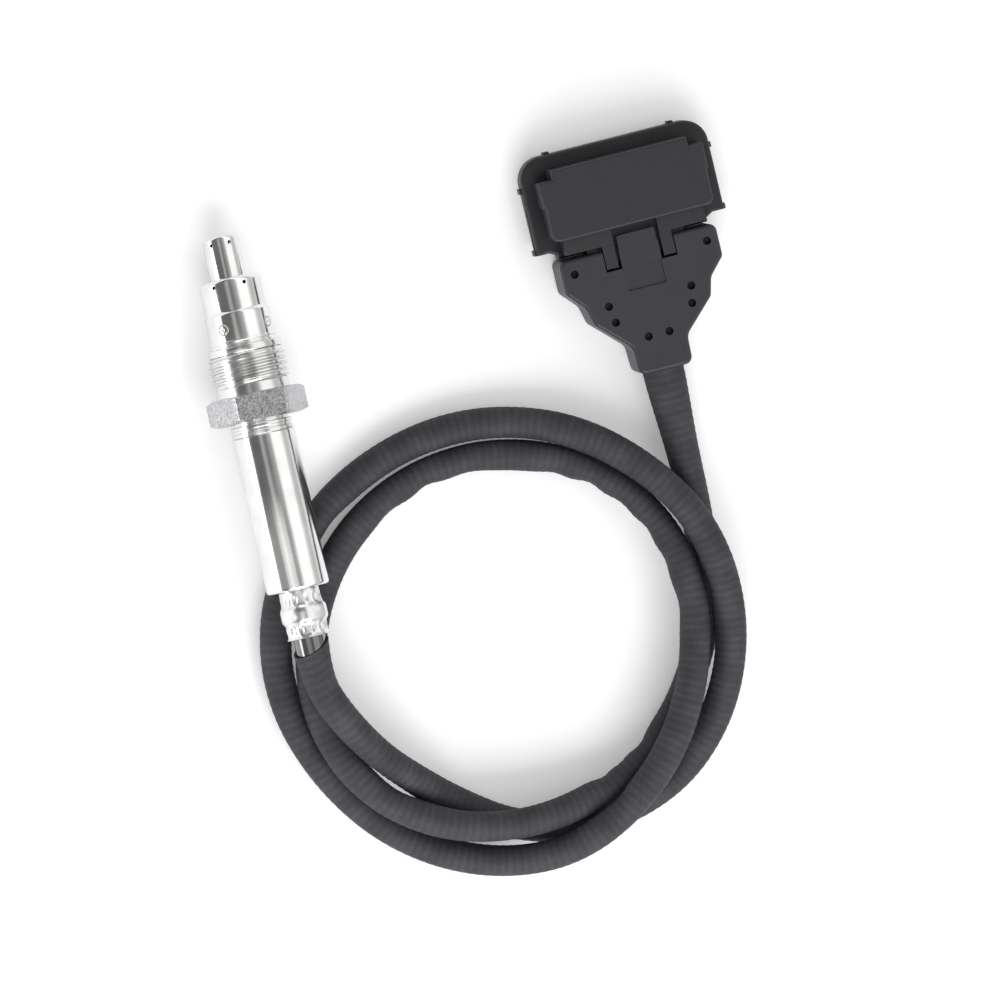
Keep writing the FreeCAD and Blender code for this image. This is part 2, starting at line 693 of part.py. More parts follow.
def lead_circles(sketch, radius):
    """One circle for each lead, evenly spaced round the probe's axis."""
    for number in range(int(value("Sizes.lead_count"))):
        angle = "(%d + 0.5) * 360 deg / Sizes.lead_count" % number
        add_circle(sketch, "Sizes.lead_circle / 2 * cos(%s)" % angle,
                   "Sizes.lead_circle / 2 * sin(%s)" % angle, radius, "c%d" % number)


leads = new_body("lead_wires")
leads.AllowCompound = True
lead_sketch = sketch_on(leads, "lead_places", "YZ_Plane", lead_start)
lead_circles(lead_sketch, half("lead_diameter"))
pad(leads, "lead_pads", lead_sketch, "(%s) - (%s)" % (grommet_end, lead_start))

grommet = new_body("grommet")
grommet_radius = ferrule_inner + " - Sizes.seat_gap"
turn(grommet, "grommet_turned", [
    (grommet_start, "0"), (grommet_start, grommet_radius),
    (grommet_end, grommet_radius), (grommet_end, "0")])
grommet_holes = sketch_on(grommet, "grommet_hole_places", "YZ_Plane", grommet_start)
lead_circles(grommet_holes, half("lead_diameter") + " + Sizes.seat_gap")
pocket(grommet, "grommet_lead_holes", grommet_holes, "Sizes.grommet_length", reverse=True)

PROBE_PIECES = ["tip_shield", "outer_shield", "housing", "gasket", "fitting_nut",
                "retaining_collar", "outer_sleeve", "crimp_ferrule", "cable_boot",
                "front_insulator", "talc_packing", "rear_insulator", "clamp_ring",
                "sensing_element", "contact_holder", "spring_clip", "contacts",
                "lead_wires", "grommet"]
# Pieces that stand turned about the probe's axis.
OWN_TURNS = {"tip_shield": "tip_vent_turn", "outer_shield": "shield_vent_turn",
             "fitting_nut": "nut_turn"}

# Plug, in its own frame: X across, Y towards the plug's front, the floor at zero.
parting = half("cover_height")


def mirrored(corners):
    """A symmetric outline from the corners of its right half, rear to front."""
    left = [("-1 * (%s)" % across, along) for across, along in reversed(corners)]
    return corners + left


def upright_at(across, along):
    """A test for vertical edges at a distance either side of the centre line."""
    side, where = value(across), value(along)

    def chosen(edge):
        points = [vertex.Point for vertex in edge.Vertexes]
        return (len(points) == 2 and abs(points[0].x - points[1].x) < 1e-4 and all(
            abs(abs(point.x) - side) < 1e-4 and abs(point.y - where) < 1e-4 for point in points))
    return chosen


def rim_at(height, smallest=0.0):
    """A test for edges that lie in one level, longer than a given length."""
    level = value(height)

    def chosen(edge):
        box = edge.BoundBox
        return (abs(box.ZMin - level) < 1e-4 and abs(box.ZMax - level) < 1e-4
                and edge.Length > smallest)
    return chosen


COVER_CORNERS = [
    ("Sizes.neck_half_width", "-1 * Sizes.cover_rear"),
    ("Sizes.neck_top_half_width", "Sizes.neck_top"),
    ("Sizes.hip_half_width", "Sizes.hip_along"),
    ("Sizes.waist_half_width", "Sizes.waist_along"),
    ("Sizes.cover_half_width", "Sizes.shoulder_along"),
    ("Sizes.cover_half_width", "Sizes.cover_front")]
CORNER_ROUNDS = [
    ("neck", 0, "Sizes.cover_corner"), ("throat", 1, "Sizes.cover_waist_round"),
    ("hip", 2, "Sizes.cover_corner"), ("waist", 3, "Sizes.cover_waist_round"),
    ("shoulder", 4, "Sizes.cover_corner * 0.8"), ("front", 5, "Sizes.cover_corner")]
# The eight pegs that pin the cover's halves together: (across, along).
PEG_PLACES = [
    ("Sizes.peg_rear_across", "0"), ("Sizes.peg_hip_across", "Sizes.peg_hip_along"),
    ("Sizes.peg_waist_across", "Sizes.peg_waist_along"),
    ("Sizes.peg_front_across", "Sizes.peg_front_along")]
bore_end = "-1 * Sizes.cover_rear + Sizes.cable_inset"
# Room for the leads inside the cover: right half, from the cable's bore to the open front.
ROOM_CORNERS = [
    ("Sizes.room_neck_half", bore_end + " - Sizes.cut_past"),
    ("Sizes.room_neck_half", "Sizes.room_neck_end"),
    ("Sizes.room_throat_half", "Sizes.room_neck_end"),
    ("Sizes.room_hip_half", "Sizes.room_hip_along"),
    ("Sizes.room_waist_half", "Sizes.room_waist_along"),
    ("Sizes.room_front_half", "Sizes.room_front_along"),
    ("Sizes.room_front_half", "Sizes.cover_front")]


def cover_half(name, upwards):
    """One half of the plug's cover: shell, rounded edges, room for leads, cable bore."""
    body = new_body(name)
    sketch = sketch_on(body, name + "_outline", "XY_Plane", parting)
    add_outline(sketch, mirrored(COVER_CORNERS))
    shell = pad(body, name + "_block", sketch, parting, reverse=not upwards)
    for tag, number, radius in CORNER_ROUNDS:
        across, along = COVER_CORNERS[number]
        shell = soften(body, "%s_%s" % (name, tag), shell, radius, upright_at(across, along))
    outer_level = "Sizes.cover_height" if upwards else "0"
    soften(body, name + "_edge", shell, "Sizes.cover_edge", rim_at(outer_level))
    room = sketch_on(body, name + "_room_outline", "XY_Plane", parting)
    add_outline(room, mirrored(ROOM_CORNERS))
    pocket(body, name + "_room", room, parting + " - Sizes.cover_wall", reverse=upwards)
    bore = sketch_on(body, name + "_bore_outline", "XY_Plane", parting)
    bore_size = half("cable_diameter") + " + Sizes.cable_gap"
    clip_size = bore_size + " + Sizes.clip_thickness + Sizes.cable_gap"
    clip_rear = "-1 * Sizes.cover_rear + Sizes.clip_inset"
    clip_front = clip_rear + " + Sizes.clip_length"
    add_outline(bore, [
        ("0", "-1 * Sizes.cover_rear - Sizes.cut_past"),
        (bore_size, "-1 * Sizes.cover_rear - Sizes.cut_past"),
        (bore_size, clip_rear), (clip_size, clip_rear), (clip_size, clip_front),
        (bore_size, clip_front), (bore_size, bore_end), ("0", bore_end)])
    groove = body.newObject("PartDesign::Groove", name + "_bore")
    groove.Profile = bore
    groove.ReferenceAxis = (bore, ["V_Axis"])
    groove.Angle = 360
    body.Tip = groove
    doc.recompute()
    return body


cover_top = cover_half("cover_top", True)
cover_bottom = cover_half("cover_bottom", False)


def peg_circles(body, name, lift, radius):
    sketch = sketch_on(body, name, "XY_Plane", lift)
    number = 0
    for across, along in PEG_PLACES:
        for side in ("-1 * ", ""):
            add_circle(sketch, side + across, along, radius, "g%d" % number)
            number += 1
    return sketch


# Top half: eight peg holes, two slots that free the latch tongue, a thumb recess.
holes = peg_circles(cover_top, "peg_hole_places", "Sizes.cover_height", half("peg_hole_diameter"))
pocket(cover_top, "peg_holes", holes, "Sizes.cover_height")
slots = sketch_on(cover_top, "arm_slot_places", "XY_Plane", "Sizes.cover_height")
slot_rear = "Sizes.cover_front - Sizes.arm_slot_depth"
for side, tag in (("", "r"), ("-1 * ", "l")):
    add_outline(slots, rectangle(side + "Sizes.arm_slot_inner", slot_rear,
                                 side + "Sizes.arm_slot_outer",
                                 "Sizes.cover_front + Sizes.cut_past"), tag)
pocket(cover_top, "arm_slots", slots, parting)
tongue = sketch_on(cover_top, "tongue_outline", "XY_Plane", "Sizes.cover_height")
add_outline(tongue, mirrored([
    ("Sizes.tongue_half_width", slot_rear),
    ("Sizes.tongue_half_width", "Sizes.cover_front + Sizes.tongue_reach")]))
tongue_pad = pad(cover_top, "tongue", tongue, "Sizes.cover_wall", reverse=True)
soften(cover_top, "tongue_tip", tongue_pad, "Sizes.cover_edge / 2",
       upright_at("Sizes.tongue_half_width", "Sizes.cover_front + Sizes.tongue_reach"))
thumb = sketch_on(cover_top, "thumb_outline", "XY_Plane", "Sizes.cover_height")
add_outline(thumb, mirrored([
    ("Sizes.tongue_half_width", slot_rear + " - Sizes.thumb_length"),
    ("Sizes.tongue_half_width", slot_rear)]))
pocket(cover_top, "thumb_recess", thumb, "Sizes.thumb_depth")

# Bottom half: eight pegs that end a little below the top half's face.
pegs = peg_circles(cover_bottom, "peg_places", parting + " - Sizes.peg_root", half("peg_diameter"))
pad(cover_bottom, "pegs", pegs, parting + " + Sizes.peg_root - Sizes.peg_sink")

# Clip: a band crimped on the cable's sleeve, caught in the cover's neck.
cable_radius = half("cable_diameter")
clip_rear = "-1 * Sizes.cover_rear + Sizes.clip_inset + Sizes.cable_gap"
clip_front = clip_rear + " + Sizes.clip_length - 2 * Sizes.cable_gap"
cable_clip = new_body("cable_clip")
clip_sketch = sketch_on(cable_clip, "clip_outline", "XY_Plane", parting)
add_outline(clip_sketch, rectangle(
    cable_radius + " + Sizes.cable_gap", clip_rear,
    cable_radius + " + Sizes.cable_gap + Sizes.clip_thickness", clip_front))
clip_turned = cable_clip.newObject("PartDesign::Revolution", "clip_turned")
clip_turned.Profile = clip_sketch
clip_turned.ReferenceAxis = (clip_sketch, ["V_Axis"])
clip_turned.Angle = 360
doc.recompute()

# Plug body: block, skirt, two arms and a tail that reaches into the cover.
block_front = "Sizes.block_along + Sizes.block_length"
block = new_body("plug_block")
block_sketch = sketch_on(block, "block_outline", "XY_Plane", "Sizes.plate_top")
step_end = "Sizes.block_along + Sizes.step_length"
notch_start = block_front + " - Sizes.notch_length"
add_outline(block_sketch, mirrored([
    ("Sizes.block_half_width - Sizes.step_depth", "Sizes.block_along"),
    ("Sizes.block_half_width - Sizes.step_depth", step_end),
    ("Sizes.block_half_width", step_end), ("Sizes.block_half_width", notch_start),
    ("Sizes.block_half_width - Sizes.notch_width", notch_start),
    ("Sizes.block_half_width - Sizes.notch_width", block_front)]))
block_pad = pad(block, "block_head", block_sketch, "Sizes.block_top - Sizes.plate_top")
block_pad = soften(block, "block_corners", block_pad, "Sizes.block_corner",
                   upright_at("Sizes.block_half_width - Sizes.step_depth", "Sizes.block_along"))
soften(block, "block_edges", block_pad, "Sizes.block_edge", rim_at("Sizes.block_top"))
skirt = sketch_on(block, "skirt_outline", "XY_Plane", "Sizes.plate_top")
for side, tag in (("", "r"), ("-1 * ", "l")):
    add_outline(skirt, rectangle(
        side + "(Sizes.arm_centre - Sizes.arm_width / 2)", "Sizes.block_along - Sizes.skirt_length",
        side + "Sizes.skirt_half_width", "Sizes.block_along + Sizes.cut_past"), tag)
pad(block, "skirt", skirt, "Sizes.skirt_top - Sizes.plate_top")
arms = sketch_on(block, "arm_outline", "XY_Plane", "Sizes.cover_height")
for side, tag in (("", "r"), ("-1 * ", "l")):
    add_outline(arms, rectangle(
        side + "(Sizes.arm_centre - Sizes.arm_width / 2)", "Sizes.block_along - Sizes.arm_length",
        side + "(Sizes.arm_centre + Sizes.arm_width / 2)",
        "Sizes.block_along - Sizes.cut_past"), tag)
pad(block, "arms", arms, "Sizes.arm_thickness", reverse=True)
tail_top = "Sizes.cover_height - Sizes.cover_wall - Sizes.cable_gap"
tail = sketch_on(block, "tail_outline", "XY_Plane", tail_top)
add_outline(tail, mirrored([
    ("Sizes.tail_half_width", "Sizes.block_along - Sizes.tail_length"),
    ("Sizes.tail_half_width", "Sizes.block_along + Sizes.cut_past")]))
pad(block, "tail", tail, "Sizes.tail_thickness", reverse=True)

# Below the flange the block ends in a socket with the pins inside.
socket_half = "Sizes.block_half_width - Sizes.socket_wall"
socket_rear = "Sizes.block_along + Sizes.socket_wall"
socket_front = block_front + " - Sizes.notch_length - Sizes.seal_width"
socket = sketch_on(block, "socket_outline", "XY_Plane")
add_outline(socket, rectangle("-1 * (%s)" % socket_half, socket_rear, socket_half, socket_front))
pad(block, "socket_wall", socket, "Sizes.plate_top + Sizes.cut_past")
room_half = socket_half + " - Sizes.socket_wall"
room_rear = socket_rear + " + Sizes.socket_wall"
room_front = socket_front + " - Sizes.socket_wall"
room = sketch_on(block, "socket_room_outline", "XY_Plane")
add_outline(room, rectangle("-1 * (%s)" % room_half, room_rear, room_half, room_front))
pocket(block, "socket_room", room, "Sizes.socket_depth", reverse=True)


def pin_circles(body, name, lift, radius):
    """Two rows of pins, evenly placed in the socket."""
    sketch = sketch_on(body, name, "XY_Plane", lift)
    middle = "((%s) + (%s)) / 2" % (room_rear, room_front)
    in_row = int(value("Sizes.pins_in_row"))
    for number in range(2 * in_row):
        across = "Sizes.pin_pitch * (%d - (Sizes.pins_in_row - 1) / 2)" % (number % in_row)
        along = middle + " + Sizes.pin_row_gap * (%d - 0.5)" % (number // in_row)
        add_circle(sketch, across, along, radius, "n%d" % number)
    return sketch


pin_holes = pin_circles(block, "pin_hole_places", "Sizes.socket_depth",
                        half("pin_diameter") + " + Sizes.cable_gap")
pocket(block, "pin_holes", pin_holes, "Sizes.pin_hole_depth", reverse=True)
pins = new_body("plug_pins")
pins.AllowCompound = True
pin_sketch = pin_circles(pins, "pin_places", "Sizes.pin_recess", half("pin_diameter"))
pad(pins, "pin_pads", pin_sketch, "Sizes.socket_depth + Sizes.pin_hole_depth - Sizes.pin_recess")

# Flange: a rounded plate with a window that the socket passes through.
flange = new_body("plug_flange")
plate = sketch_on(flange, "plate_outline", "XY_Plane", "Sizes.plate_bottom")
add_outline(plate, mirrored([
    ("Sizes.plate_tab_half", "Sizes.plate_tab_rear"),
    ("Sizes.plate_tab_half", "Sizes.plate_rear - Sizes.plate_tab_drop"),
    ("Sizes.plate_tab_half + Sizes.plate_tab_slope", "Sizes.plate_rear"),
    ("Sizes.plate_half_width", "Sizes.plate_rear"),
    ("Sizes.plate_half_width", "Sizes.plate_front")]))
plate_pad = pad(flange, "plate", plate, "Sizes.plate_top - Sizes.plate_bottom")
plate_pad = soften(flange, "plate_corners", plate_pad, "Sizes.plate_corner",
                   upright_at("Sizes.plate_half_width", "Sizes.plate_front"))
soften(flange, "plate_edges", plate_pad, "Sizes.plate_edge", rim_at("Sizes.plate_top"))
# Small snap bumps on the flange's rim, which catch in the control unit's socket.
snaps = sketch_on(flange, "snap_outline", "XY_Plane", "Sizes.plate_bottom")
side_reach = "(Sizes.plate_half_width - Sizes.snap_root)", "(Sizes.plate_half_width + Sizes.snap_reach)"
front_reach = "Sizes.plate_front - Sizes.snap_root", "Sizes.plate_front + Sizes.snap_reach"
for side, tag in (("", "r"), ("-1 * ", "l")):
    for along, mark in (("Sizes.snap_side_along", "s"), ("Sizes.snap_rear_along", "e")):
        add_outline(snaps, rectangle(
            side + side_reach[0], along + " - Sizes.snap_width / 2",
            side + side_reach[1], along + " + Sizes.snap_width / 2"), tag + mark)
    middle = side + "Sizes.snap_front_across"
    add_outline(snaps, rectangle(middle + " - Sizes.snap_width / 2", front_reach[0],
                                 middle + " + Sizes.snap_width / 2", front_reach[1]), tag + "f")
pad(flange, "snaps", snaps, "Sizes.snap_height")
window = sketch_on(flange, "window_outline", "XY_Plane", "Sizes.plate_bottom")
window_gap = " + Sizes.cable_gap"
add_outline(window, rectangle(
    "-1 * (%s)" % (socket_half + window_gap), socket_rear + " - Sizes.cable_gap",
    socket_half + window_gap, socket_front + window_gap))
pocket(flange, "window", window, "Sizes.plate_top - Sizes.plate_bottom", reverse=True)

# Seal: a rubber frame round the socket, under the flange.
seal = new_body("flange_seal")
seal_outline = sketch_on(seal, "seal_outline", "XY_Plane", "Sizes.plate_bottom")
seal_out = " + Sizes.cable_gap + Sizes.seal_width"
add_outline(seal_outline, rectangle(
    "-1 * (%s)" % (socket_half + seal_out), socket_rear + " - Sizes.cable_gap - Sizes.seal_width",
    socket_half + seal_out, socket_front + seal_out))
seal_pad = pad(seal, "seal_frame", seal_outline, "Sizes.seal_thickness", reverse=True)
seal_window = sketch_on(seal, "seal_window_outline", "XY_Plane", "Sizes.plate_bottom")
add_outline(seal_window, rectangle(
    "-1 * (%s)" % (socket_half + window_gap), socket_rear + " - Sizes.cable_gap",
    socket_half + window_gap, socket_front + window_gap))
pocket(seal, "seal_window", seal_window, "Sizes.seal_thickness")

PLUG_PIECES = ["cover_top", "cover_bottom", "cable_clip", "plug_block", "plug_pins",
               "plug_flange", "flange_seal"]

# Leads inside the cover: the cable's core, fanned out to the block's tail.
core_start = FreeCAD.Vector(0, value(bore_end), value(parting))
core_end = FreeCAD.Vector(0, value("Sizes.core_end"), value(parting))
fan_radius = value(half("fan_diameter"))
fan_height = value(tail_top + " - Sizes.tail_thickness / 2")
fan_along = value("Sizes.block_along - Sizes.tail_length - Sizes.fan_gap")
leads_shape = Part.makeCylinder(value(half("core_diameter")), (core_end - core_start).Length,
                                core_start, core_end - core_start)
fan_count = int(value("Sizes.lead_count"))
spread = core_end - FreeCAD.Vector(0, value("Sizes.core_diameter"), 0)
for number in range(fan_count):
    across = value("Sizes.fan_pitch") * (number - (fan_count - 1) / 2)
    run = FreeCAD.Vector(across, fan_along, fan_height) - spread
    leads_shape = leads_shape.fuse(Part.makeCylinder(fan_radius, run.Length, spread, run))
plug_leads = doc.addObject("Part::Feature", "plug_leads")
plug_leads.Shape = leads_shape.removeSplitter()
PLUG_PIECES.append("plug_leads")

# Place the plug on the floor, nearly parallel to the probe.
plug_turn = FreeCAD.Rotation(FreeCAD.Vector(0, 0, 1), value("Sizes.plug_turn"))
plug_place = FreeCAD.Placement(
    FreeCAD.Vector(value("Sizes.plug_across"), value("Sizes.plug_along"), 0), plug_turn)
for name in PLUG_PIECES:
    doc.getObject(name).Placement = plug_place

# Lean the probe, then set it with its lowest point on the floor and its box's middle
# over the origin. The nut and the rings of gas holes stand turned about its axis.
lean = math.radians(value("Sizes.probe_tilt"))
along_probe = FreeCAD.Vector(0, -math.cos(lean), math.sin(lean))
probe_turn = FreeCAD.Rotation(along_probe, FreeCAD.Vector(1, 0, 0),
                              FreeCAD.Vector(0, math.sin(lean), math.cos(lean)), "XYZ")


def place_probe(base):
    """Lay every piece of the probe at one base point, and return the box round them."""
    box = FreeCAD.BoundBox()
    for name in PROBE_PIECES:
        piece = doc.getObject(name)
        own = -value("Sizes." + OWN_TURNS[name]) if name in OWN_TURNS else 0
        about_axis = FreeCAD.Rotation(FreeCAD.Vector(1, 0, 0), own)
        piece.Placement = FreeCAD.Placement(base, probe_turn.multiply(about_axis))
        box.add(piece.Shape.optimalBoundingBox(False))
    return box


first_box = place_probe(FreeCAD.Vector(0, 0, 0))
probe_base = FreeCAD.Vector(-first_box.Center.x, -first_box.Center.y, -first_box.ZMin)
probe_box = place_probe(probe_base)


def on_axis(station):
    """The point on the probe's axis at a station."""
    return probe_base + along_probe * value(station)


# Cable: a limp sleeve of one diameter, from the boot to the plug's bore. The points
# between its two ends are where its straight runs would meet.
cable_start = on_axis(boot_end)
plug_entry = plug_place.multVec(core_start)
plug_forward = plug_turn.multVec(FreeCAD.Vector(0, 1, 0))
LOOPS = [
    # down from the probe to the floor and round the first outer loop
    (2.5, -67.5, 19.2), (6.5, -75.0, 17.5), (12.0, -83.0, 14.2), (19.0, -90.5, 9.7),
    (29.5, -100.5, 5.4), (43.0, -110.0, 4.1), (61.5, -114.5, 4.1), (84.5, -109.5, 4.1),
    (101.0, -93.5, 6.4), (108.5, -70.0, 11.1), (106.0, -45.0, 13.6), (93.0, -25.0, 10.6),
    (74.0, -11.0, 6.3), (51.0, -6.0, 4.1), (27.5, -10.5, 4.1), (6.5, -23.5, 4.1),
    # under the sleeve and round the second outer loop
    (-6.0, -43.0, 4.1), (-8.8, -65.0, 4.1), (-0.8, -88.0, 4.1), (14.5, -107.5, 4.1),
    (35.0, -118.0, 6.6), (57.5, -118.5, 12.5), (78.0, -106.5, 14.7), (93.0, -87.5, 13.0),
    (99.5, -64.0, 11.6), (96.0, -41.0, 7.4), (81.0, -24.0, 4.1), (59.0, -15.0, 4.1),
    (35.5, -16.5, 4.1), (15.0, -28.0, 4.1),
    # under the ferrule, over the first run and round the inner loop
    (2.5, -47.0, 4.6), (-1.7, -69.3, 9.9), (6.4, -91.4, 11.7), (25.5, -105.5, 13.7),
    (50.0, -109.5, 12.2), (74.0, -104.0, 6.5), (92.0, -89.5, 4.1), (103.5, -68.5, 4.1),
    (105.9, -45.5, 4.1)]
cable_points = [cable_start, cable_start + along_probe * value("Sizes.exit_run")]
cable_points += [FreeCAD.Vector(*place) for place in LOOPS]
cable_points += [plug_entry - plug_forward * value("Sizes.entry_run"), plug_entry]
# Share of the shorter run that each bend takes up.
BEND_SHARE = 0.45


def tube_path(points):
    """Straight runs joined by tangent arcs, and the arcs' radii."""
    edges, radii, start = [], [], points[0]
    for before, corner, after in zip(points, points[1:], points[2:]):
        back, ahead = before - corner, after - corner
        reach = BEND_SHARE * min(back.Length, ahead.Length)
        half_turn = (math.pi - back.getAngle(ahead)) / 2
        radius = reach / math.tan(half_turn)
        back.normalize()
        ahead.normalize()
        inwards = (back + ahead).normalize()
        top = corner + inwards * (radius / math.cos(half_turn) - radius)
        edges.append(Part.LineSegment(start, corner + back * reach).toShape())
        edges.append(Part.Arc(corner + back * reach, top, corner + ahead * reach).toShape())
        radii.append(radius)
        start = corner + ahead * reach
    edges.append(Part.LineSegment(start, points[-1]).toShape())
    return Part.Wire(edges), radii


cable_path, bend_radii = tube_path(cable_points)
cable_section = Part.Circle(cable_start, along_probe, value(half("cable_diameter")))
cable = doc.addObject("Part::Feature", "cable")
cable.Shape = cable_path.makePipeShell([Part.Wire([cable_section.toShape()])], True, True)
print("cable length %.1f, radii %s" % (
    cable_path.Length, " ".join("%.0f" % radius for radius in bend_radii)))
section_area = math.pi * value(half("cable_diameter")) ** 2
print("cable volume %.0f, section times length %.0f" % (
    cable.Shape.Volume, section_area * cable_path.Length))

# Check the document and the solids, then write one file for each piece.
doc.recompute()
failed = [piece.Name for piece in doc.Objects if {"Invalid", "Error"} & set(piece.State)]
if failed:
    raise RuntimeError("features that failed: %s" % failed)
NODES = PROBE_PIECES + ["cable"] + PLUG_PIECES
for name in NODES:
    shape = doc.getObject(name).Shape
    if not shape.isValid() or not shape.Solids:
        raise RuntimeError("%s is not a valid solid" % name)
os.makedirs("parts", exist_ok=True)
for name in NODES:
    doc.getObject(name).Shape.exportStep(os.path.join("parts", name + ".step"))

nut_middle = AT_NUT + " + Sizes.thread_length / 2"
for label, station in (("tip", "0"), ("gasket front", AT_GASKET), ("nut middle", nut_middle),
                       ("cable exit", boot_end)):
    print(label, [round(number, 3) for number in on_axis(station)])
print("axis", [round(number, 5) for number in along_probe])
print("plug entry", [round(number, 3) for number in plug_entry])
print("probe box", probe_box)
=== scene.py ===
import json
import math

import bmesh
import bpy
from mathutils import Matrix, Vector, noise


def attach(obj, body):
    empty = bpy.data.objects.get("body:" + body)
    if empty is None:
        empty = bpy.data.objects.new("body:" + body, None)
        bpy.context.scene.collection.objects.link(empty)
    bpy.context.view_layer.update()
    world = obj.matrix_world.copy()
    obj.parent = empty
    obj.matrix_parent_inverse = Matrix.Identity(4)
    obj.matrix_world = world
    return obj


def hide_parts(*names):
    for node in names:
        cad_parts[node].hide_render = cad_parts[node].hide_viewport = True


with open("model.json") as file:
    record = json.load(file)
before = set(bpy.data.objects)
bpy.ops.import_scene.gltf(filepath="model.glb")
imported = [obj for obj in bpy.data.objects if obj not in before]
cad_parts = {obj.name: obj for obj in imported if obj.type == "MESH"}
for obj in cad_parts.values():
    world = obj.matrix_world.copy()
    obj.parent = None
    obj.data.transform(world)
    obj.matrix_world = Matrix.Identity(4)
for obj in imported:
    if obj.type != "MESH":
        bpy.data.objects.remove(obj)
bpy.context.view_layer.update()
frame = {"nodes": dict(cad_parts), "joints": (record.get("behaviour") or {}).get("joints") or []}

# Nitrogen oxide sensor: a stainless probe with a captive fitting nut, a sleeved
# cable laid in loose loops, and a moulded plug with a flange. Metres, +Z up.
MM = 0.001

# Camera: a long lens a good way above the table, square to the probe's axis and a little to
# its left, as the photograph was taken: rims of the probe are straight lines in it.
CAMERA_AIM = Vector((54.6, -25.4, 10)) * MM
CAMERA_DISTANCE = 1.5
CAMERA_LENS = 216.3
VIEW_FROM_LEFT = math.radians(9)
VIEW_FROM_FRONT = math.radians(6.7)
VIEW_ROLL = math.radians(11.7)
sight = Vector((-math.tan(VIEW_FROM_LEFT), math.tan(VIEW_FROM_FRONT), 1)).normalized()
level = Vector((math.sin(VIEW_ROLL), math.cos(VIEW_ROLL), 0)).cross(sight).normalized()
view_axes = Matrix((level, sight.cross(level), sight)).transposed()
bpy.ops.object.select_all(action="DESELECT")
bpy.ops.object.camera_add(location=CAMERA_AIM + sight * CAMERA_DISTANCE,
                          rotation=view_axes.to_euler())
camera = bpy.context.object
camera.name = "camera"
camera.data.sensor_width = 36
camera.data.lens = CAMERA_LENS
bpy.context.scene.camera = camera
bpy.context.scene.view_settings.view_transform = "Standard"

# Cable: eight leads in one limp sleeve of coated glass fibre, woven with a rib across it.
# It leaves the probe's boot through a slanting mouth and is clamped in the plug's cover.
# It lies in three loose loops, and puckers where its inner side is pressed together.
CABLE_ROUTE = [
    (0, -0.05267, 0.01874), (0, -0.06062, 0.01967),
    (0.0025, -0.0675, 0.0192), (0.0065, -0.075, 0.0175), (0.012, -0.083, 0.0142),
    (0.019, -0.0905, 0.0097), (0.0295, -0.1005, 0.0054), (0.043, -0.11, 0.0041),
    (0.0615, -0.1145, 0.0041), (0.0845, -0.1095, 0.0041), (0.101, -0.0935, 0.0064),
    (0.1085, -0.07, 0.0111), (0.106, -0.045, 0.0136), (0.093, -0.025, 0.0106),
    (0.074, -0.011, 0.0063), (0.051, -0.006, 0.0041), (0.0275, -0.0105, 0.0041),
    (0.0065, -0.0235, 0.0041), (-0.006, -0.043, 0.0041), (-0.0088, -0.065, 0.0041),
    (-0.0008, -0.088, 0.0041), (0.0145, -0.1075, 0.0041), (0.035, -0.118, 0.0066),
    (0.0575, -0.1185, 0.0125), (0.078, -0.1065, 0.0147), (0.093, -0.0875, 0.013),
    (0.0995, -0.064, 0.0116), (0.096, -0.041, 0.0074), (0.081, -0.024, 0.0041),
    (0.059, -0.015, 0.0041), (0.0355, -0.0165, 0.0041), (0.015, -0.028, 0.0041),
    (0.0025, -0.047, 0.0046), (-0.0017, -0.0693, 0.0099), (0.0064, -0.0914, 0.0117),
    (0.0255, -0.1055, 0.0137), (0.05, -0.1095, 0.0122), (0.074, -0.104, 0.0065),
    (0.092, -0.0895, 0.0041), (0.1035, -0.0685, 0.0041), (0.1059, -0.0455, 0.0041),
    (0.10452, -0.02003, 0.0062), (0.10367, 0.00365, 0.0062)]
CABLE_DIAMETER = 8.0 * MM
CABLE_SIDES = 24
RIB_PITCH = 2.0 * MM
RIB_HEIGHT = 0.11 * MM
RIB_EVENNESS = 0.55
# The sleeve's outline sways by this much, over this length and this share of a turn.
SWAY = 0.32 * MM
SWAY_LENGTH = 26 * MM
SWAY_ROUND = 0.7
# Puckers on the inner side of the bends: distance along the cable, depth, half length.
PUCKERS = [
    (0.621, 0.8, 5), (0.609, 1.1, 4), (0.597, 0.6, 6), (0.573, 0.7, 4), (0.563, 1.2, 4),
    (0.553, 1.0, 5), (0.543, 0.9, 4), (0.533, 0.6, 4), (0.520, 0.7, 5), (0.463, 0.7, 4),
    (0.770, 1.1, 3.5), (0.776, 0.9, 3), (0.783, 1.2, 4), (0.304, 0.5, 6), (0.709, 0.5, 6)]
# A pucker has faded out this many half lengths from its middle.
PUCKER_END = 3
# The mouth at the probe: its longest and shortest lip, the side of the longest, its flare.
MOUTH_LONG_LIP = 3.3 * MM
MOUTH_SHORT_LIP = -1.0 * MM
MOUTH_LONG_SIDE = math.radians(225)
MOUTH_REACH = 12 * MM
MOUTH_FLARE = 0.85 * MM
# Behind the plug's neck the sleeve lies spread: from where, how much and how far.
NECK_DEPTH = 5.8 * MM
NECK_SPREAD = 0.35
NECK_SPREAD_REACH = 17 * MM
NECK_SQUEEZE = 1.5 * MM
SLEEVE_WALL = 0.55 * MM
# The lining that shows in the mouth: its length, and its rings to one ring of the sleeve.
LINING_REACH = 6 * MM
LINING_STEP = 4
FLOOR_GAP = 0.05 * MM
POINTS_PER_SPAN = 72

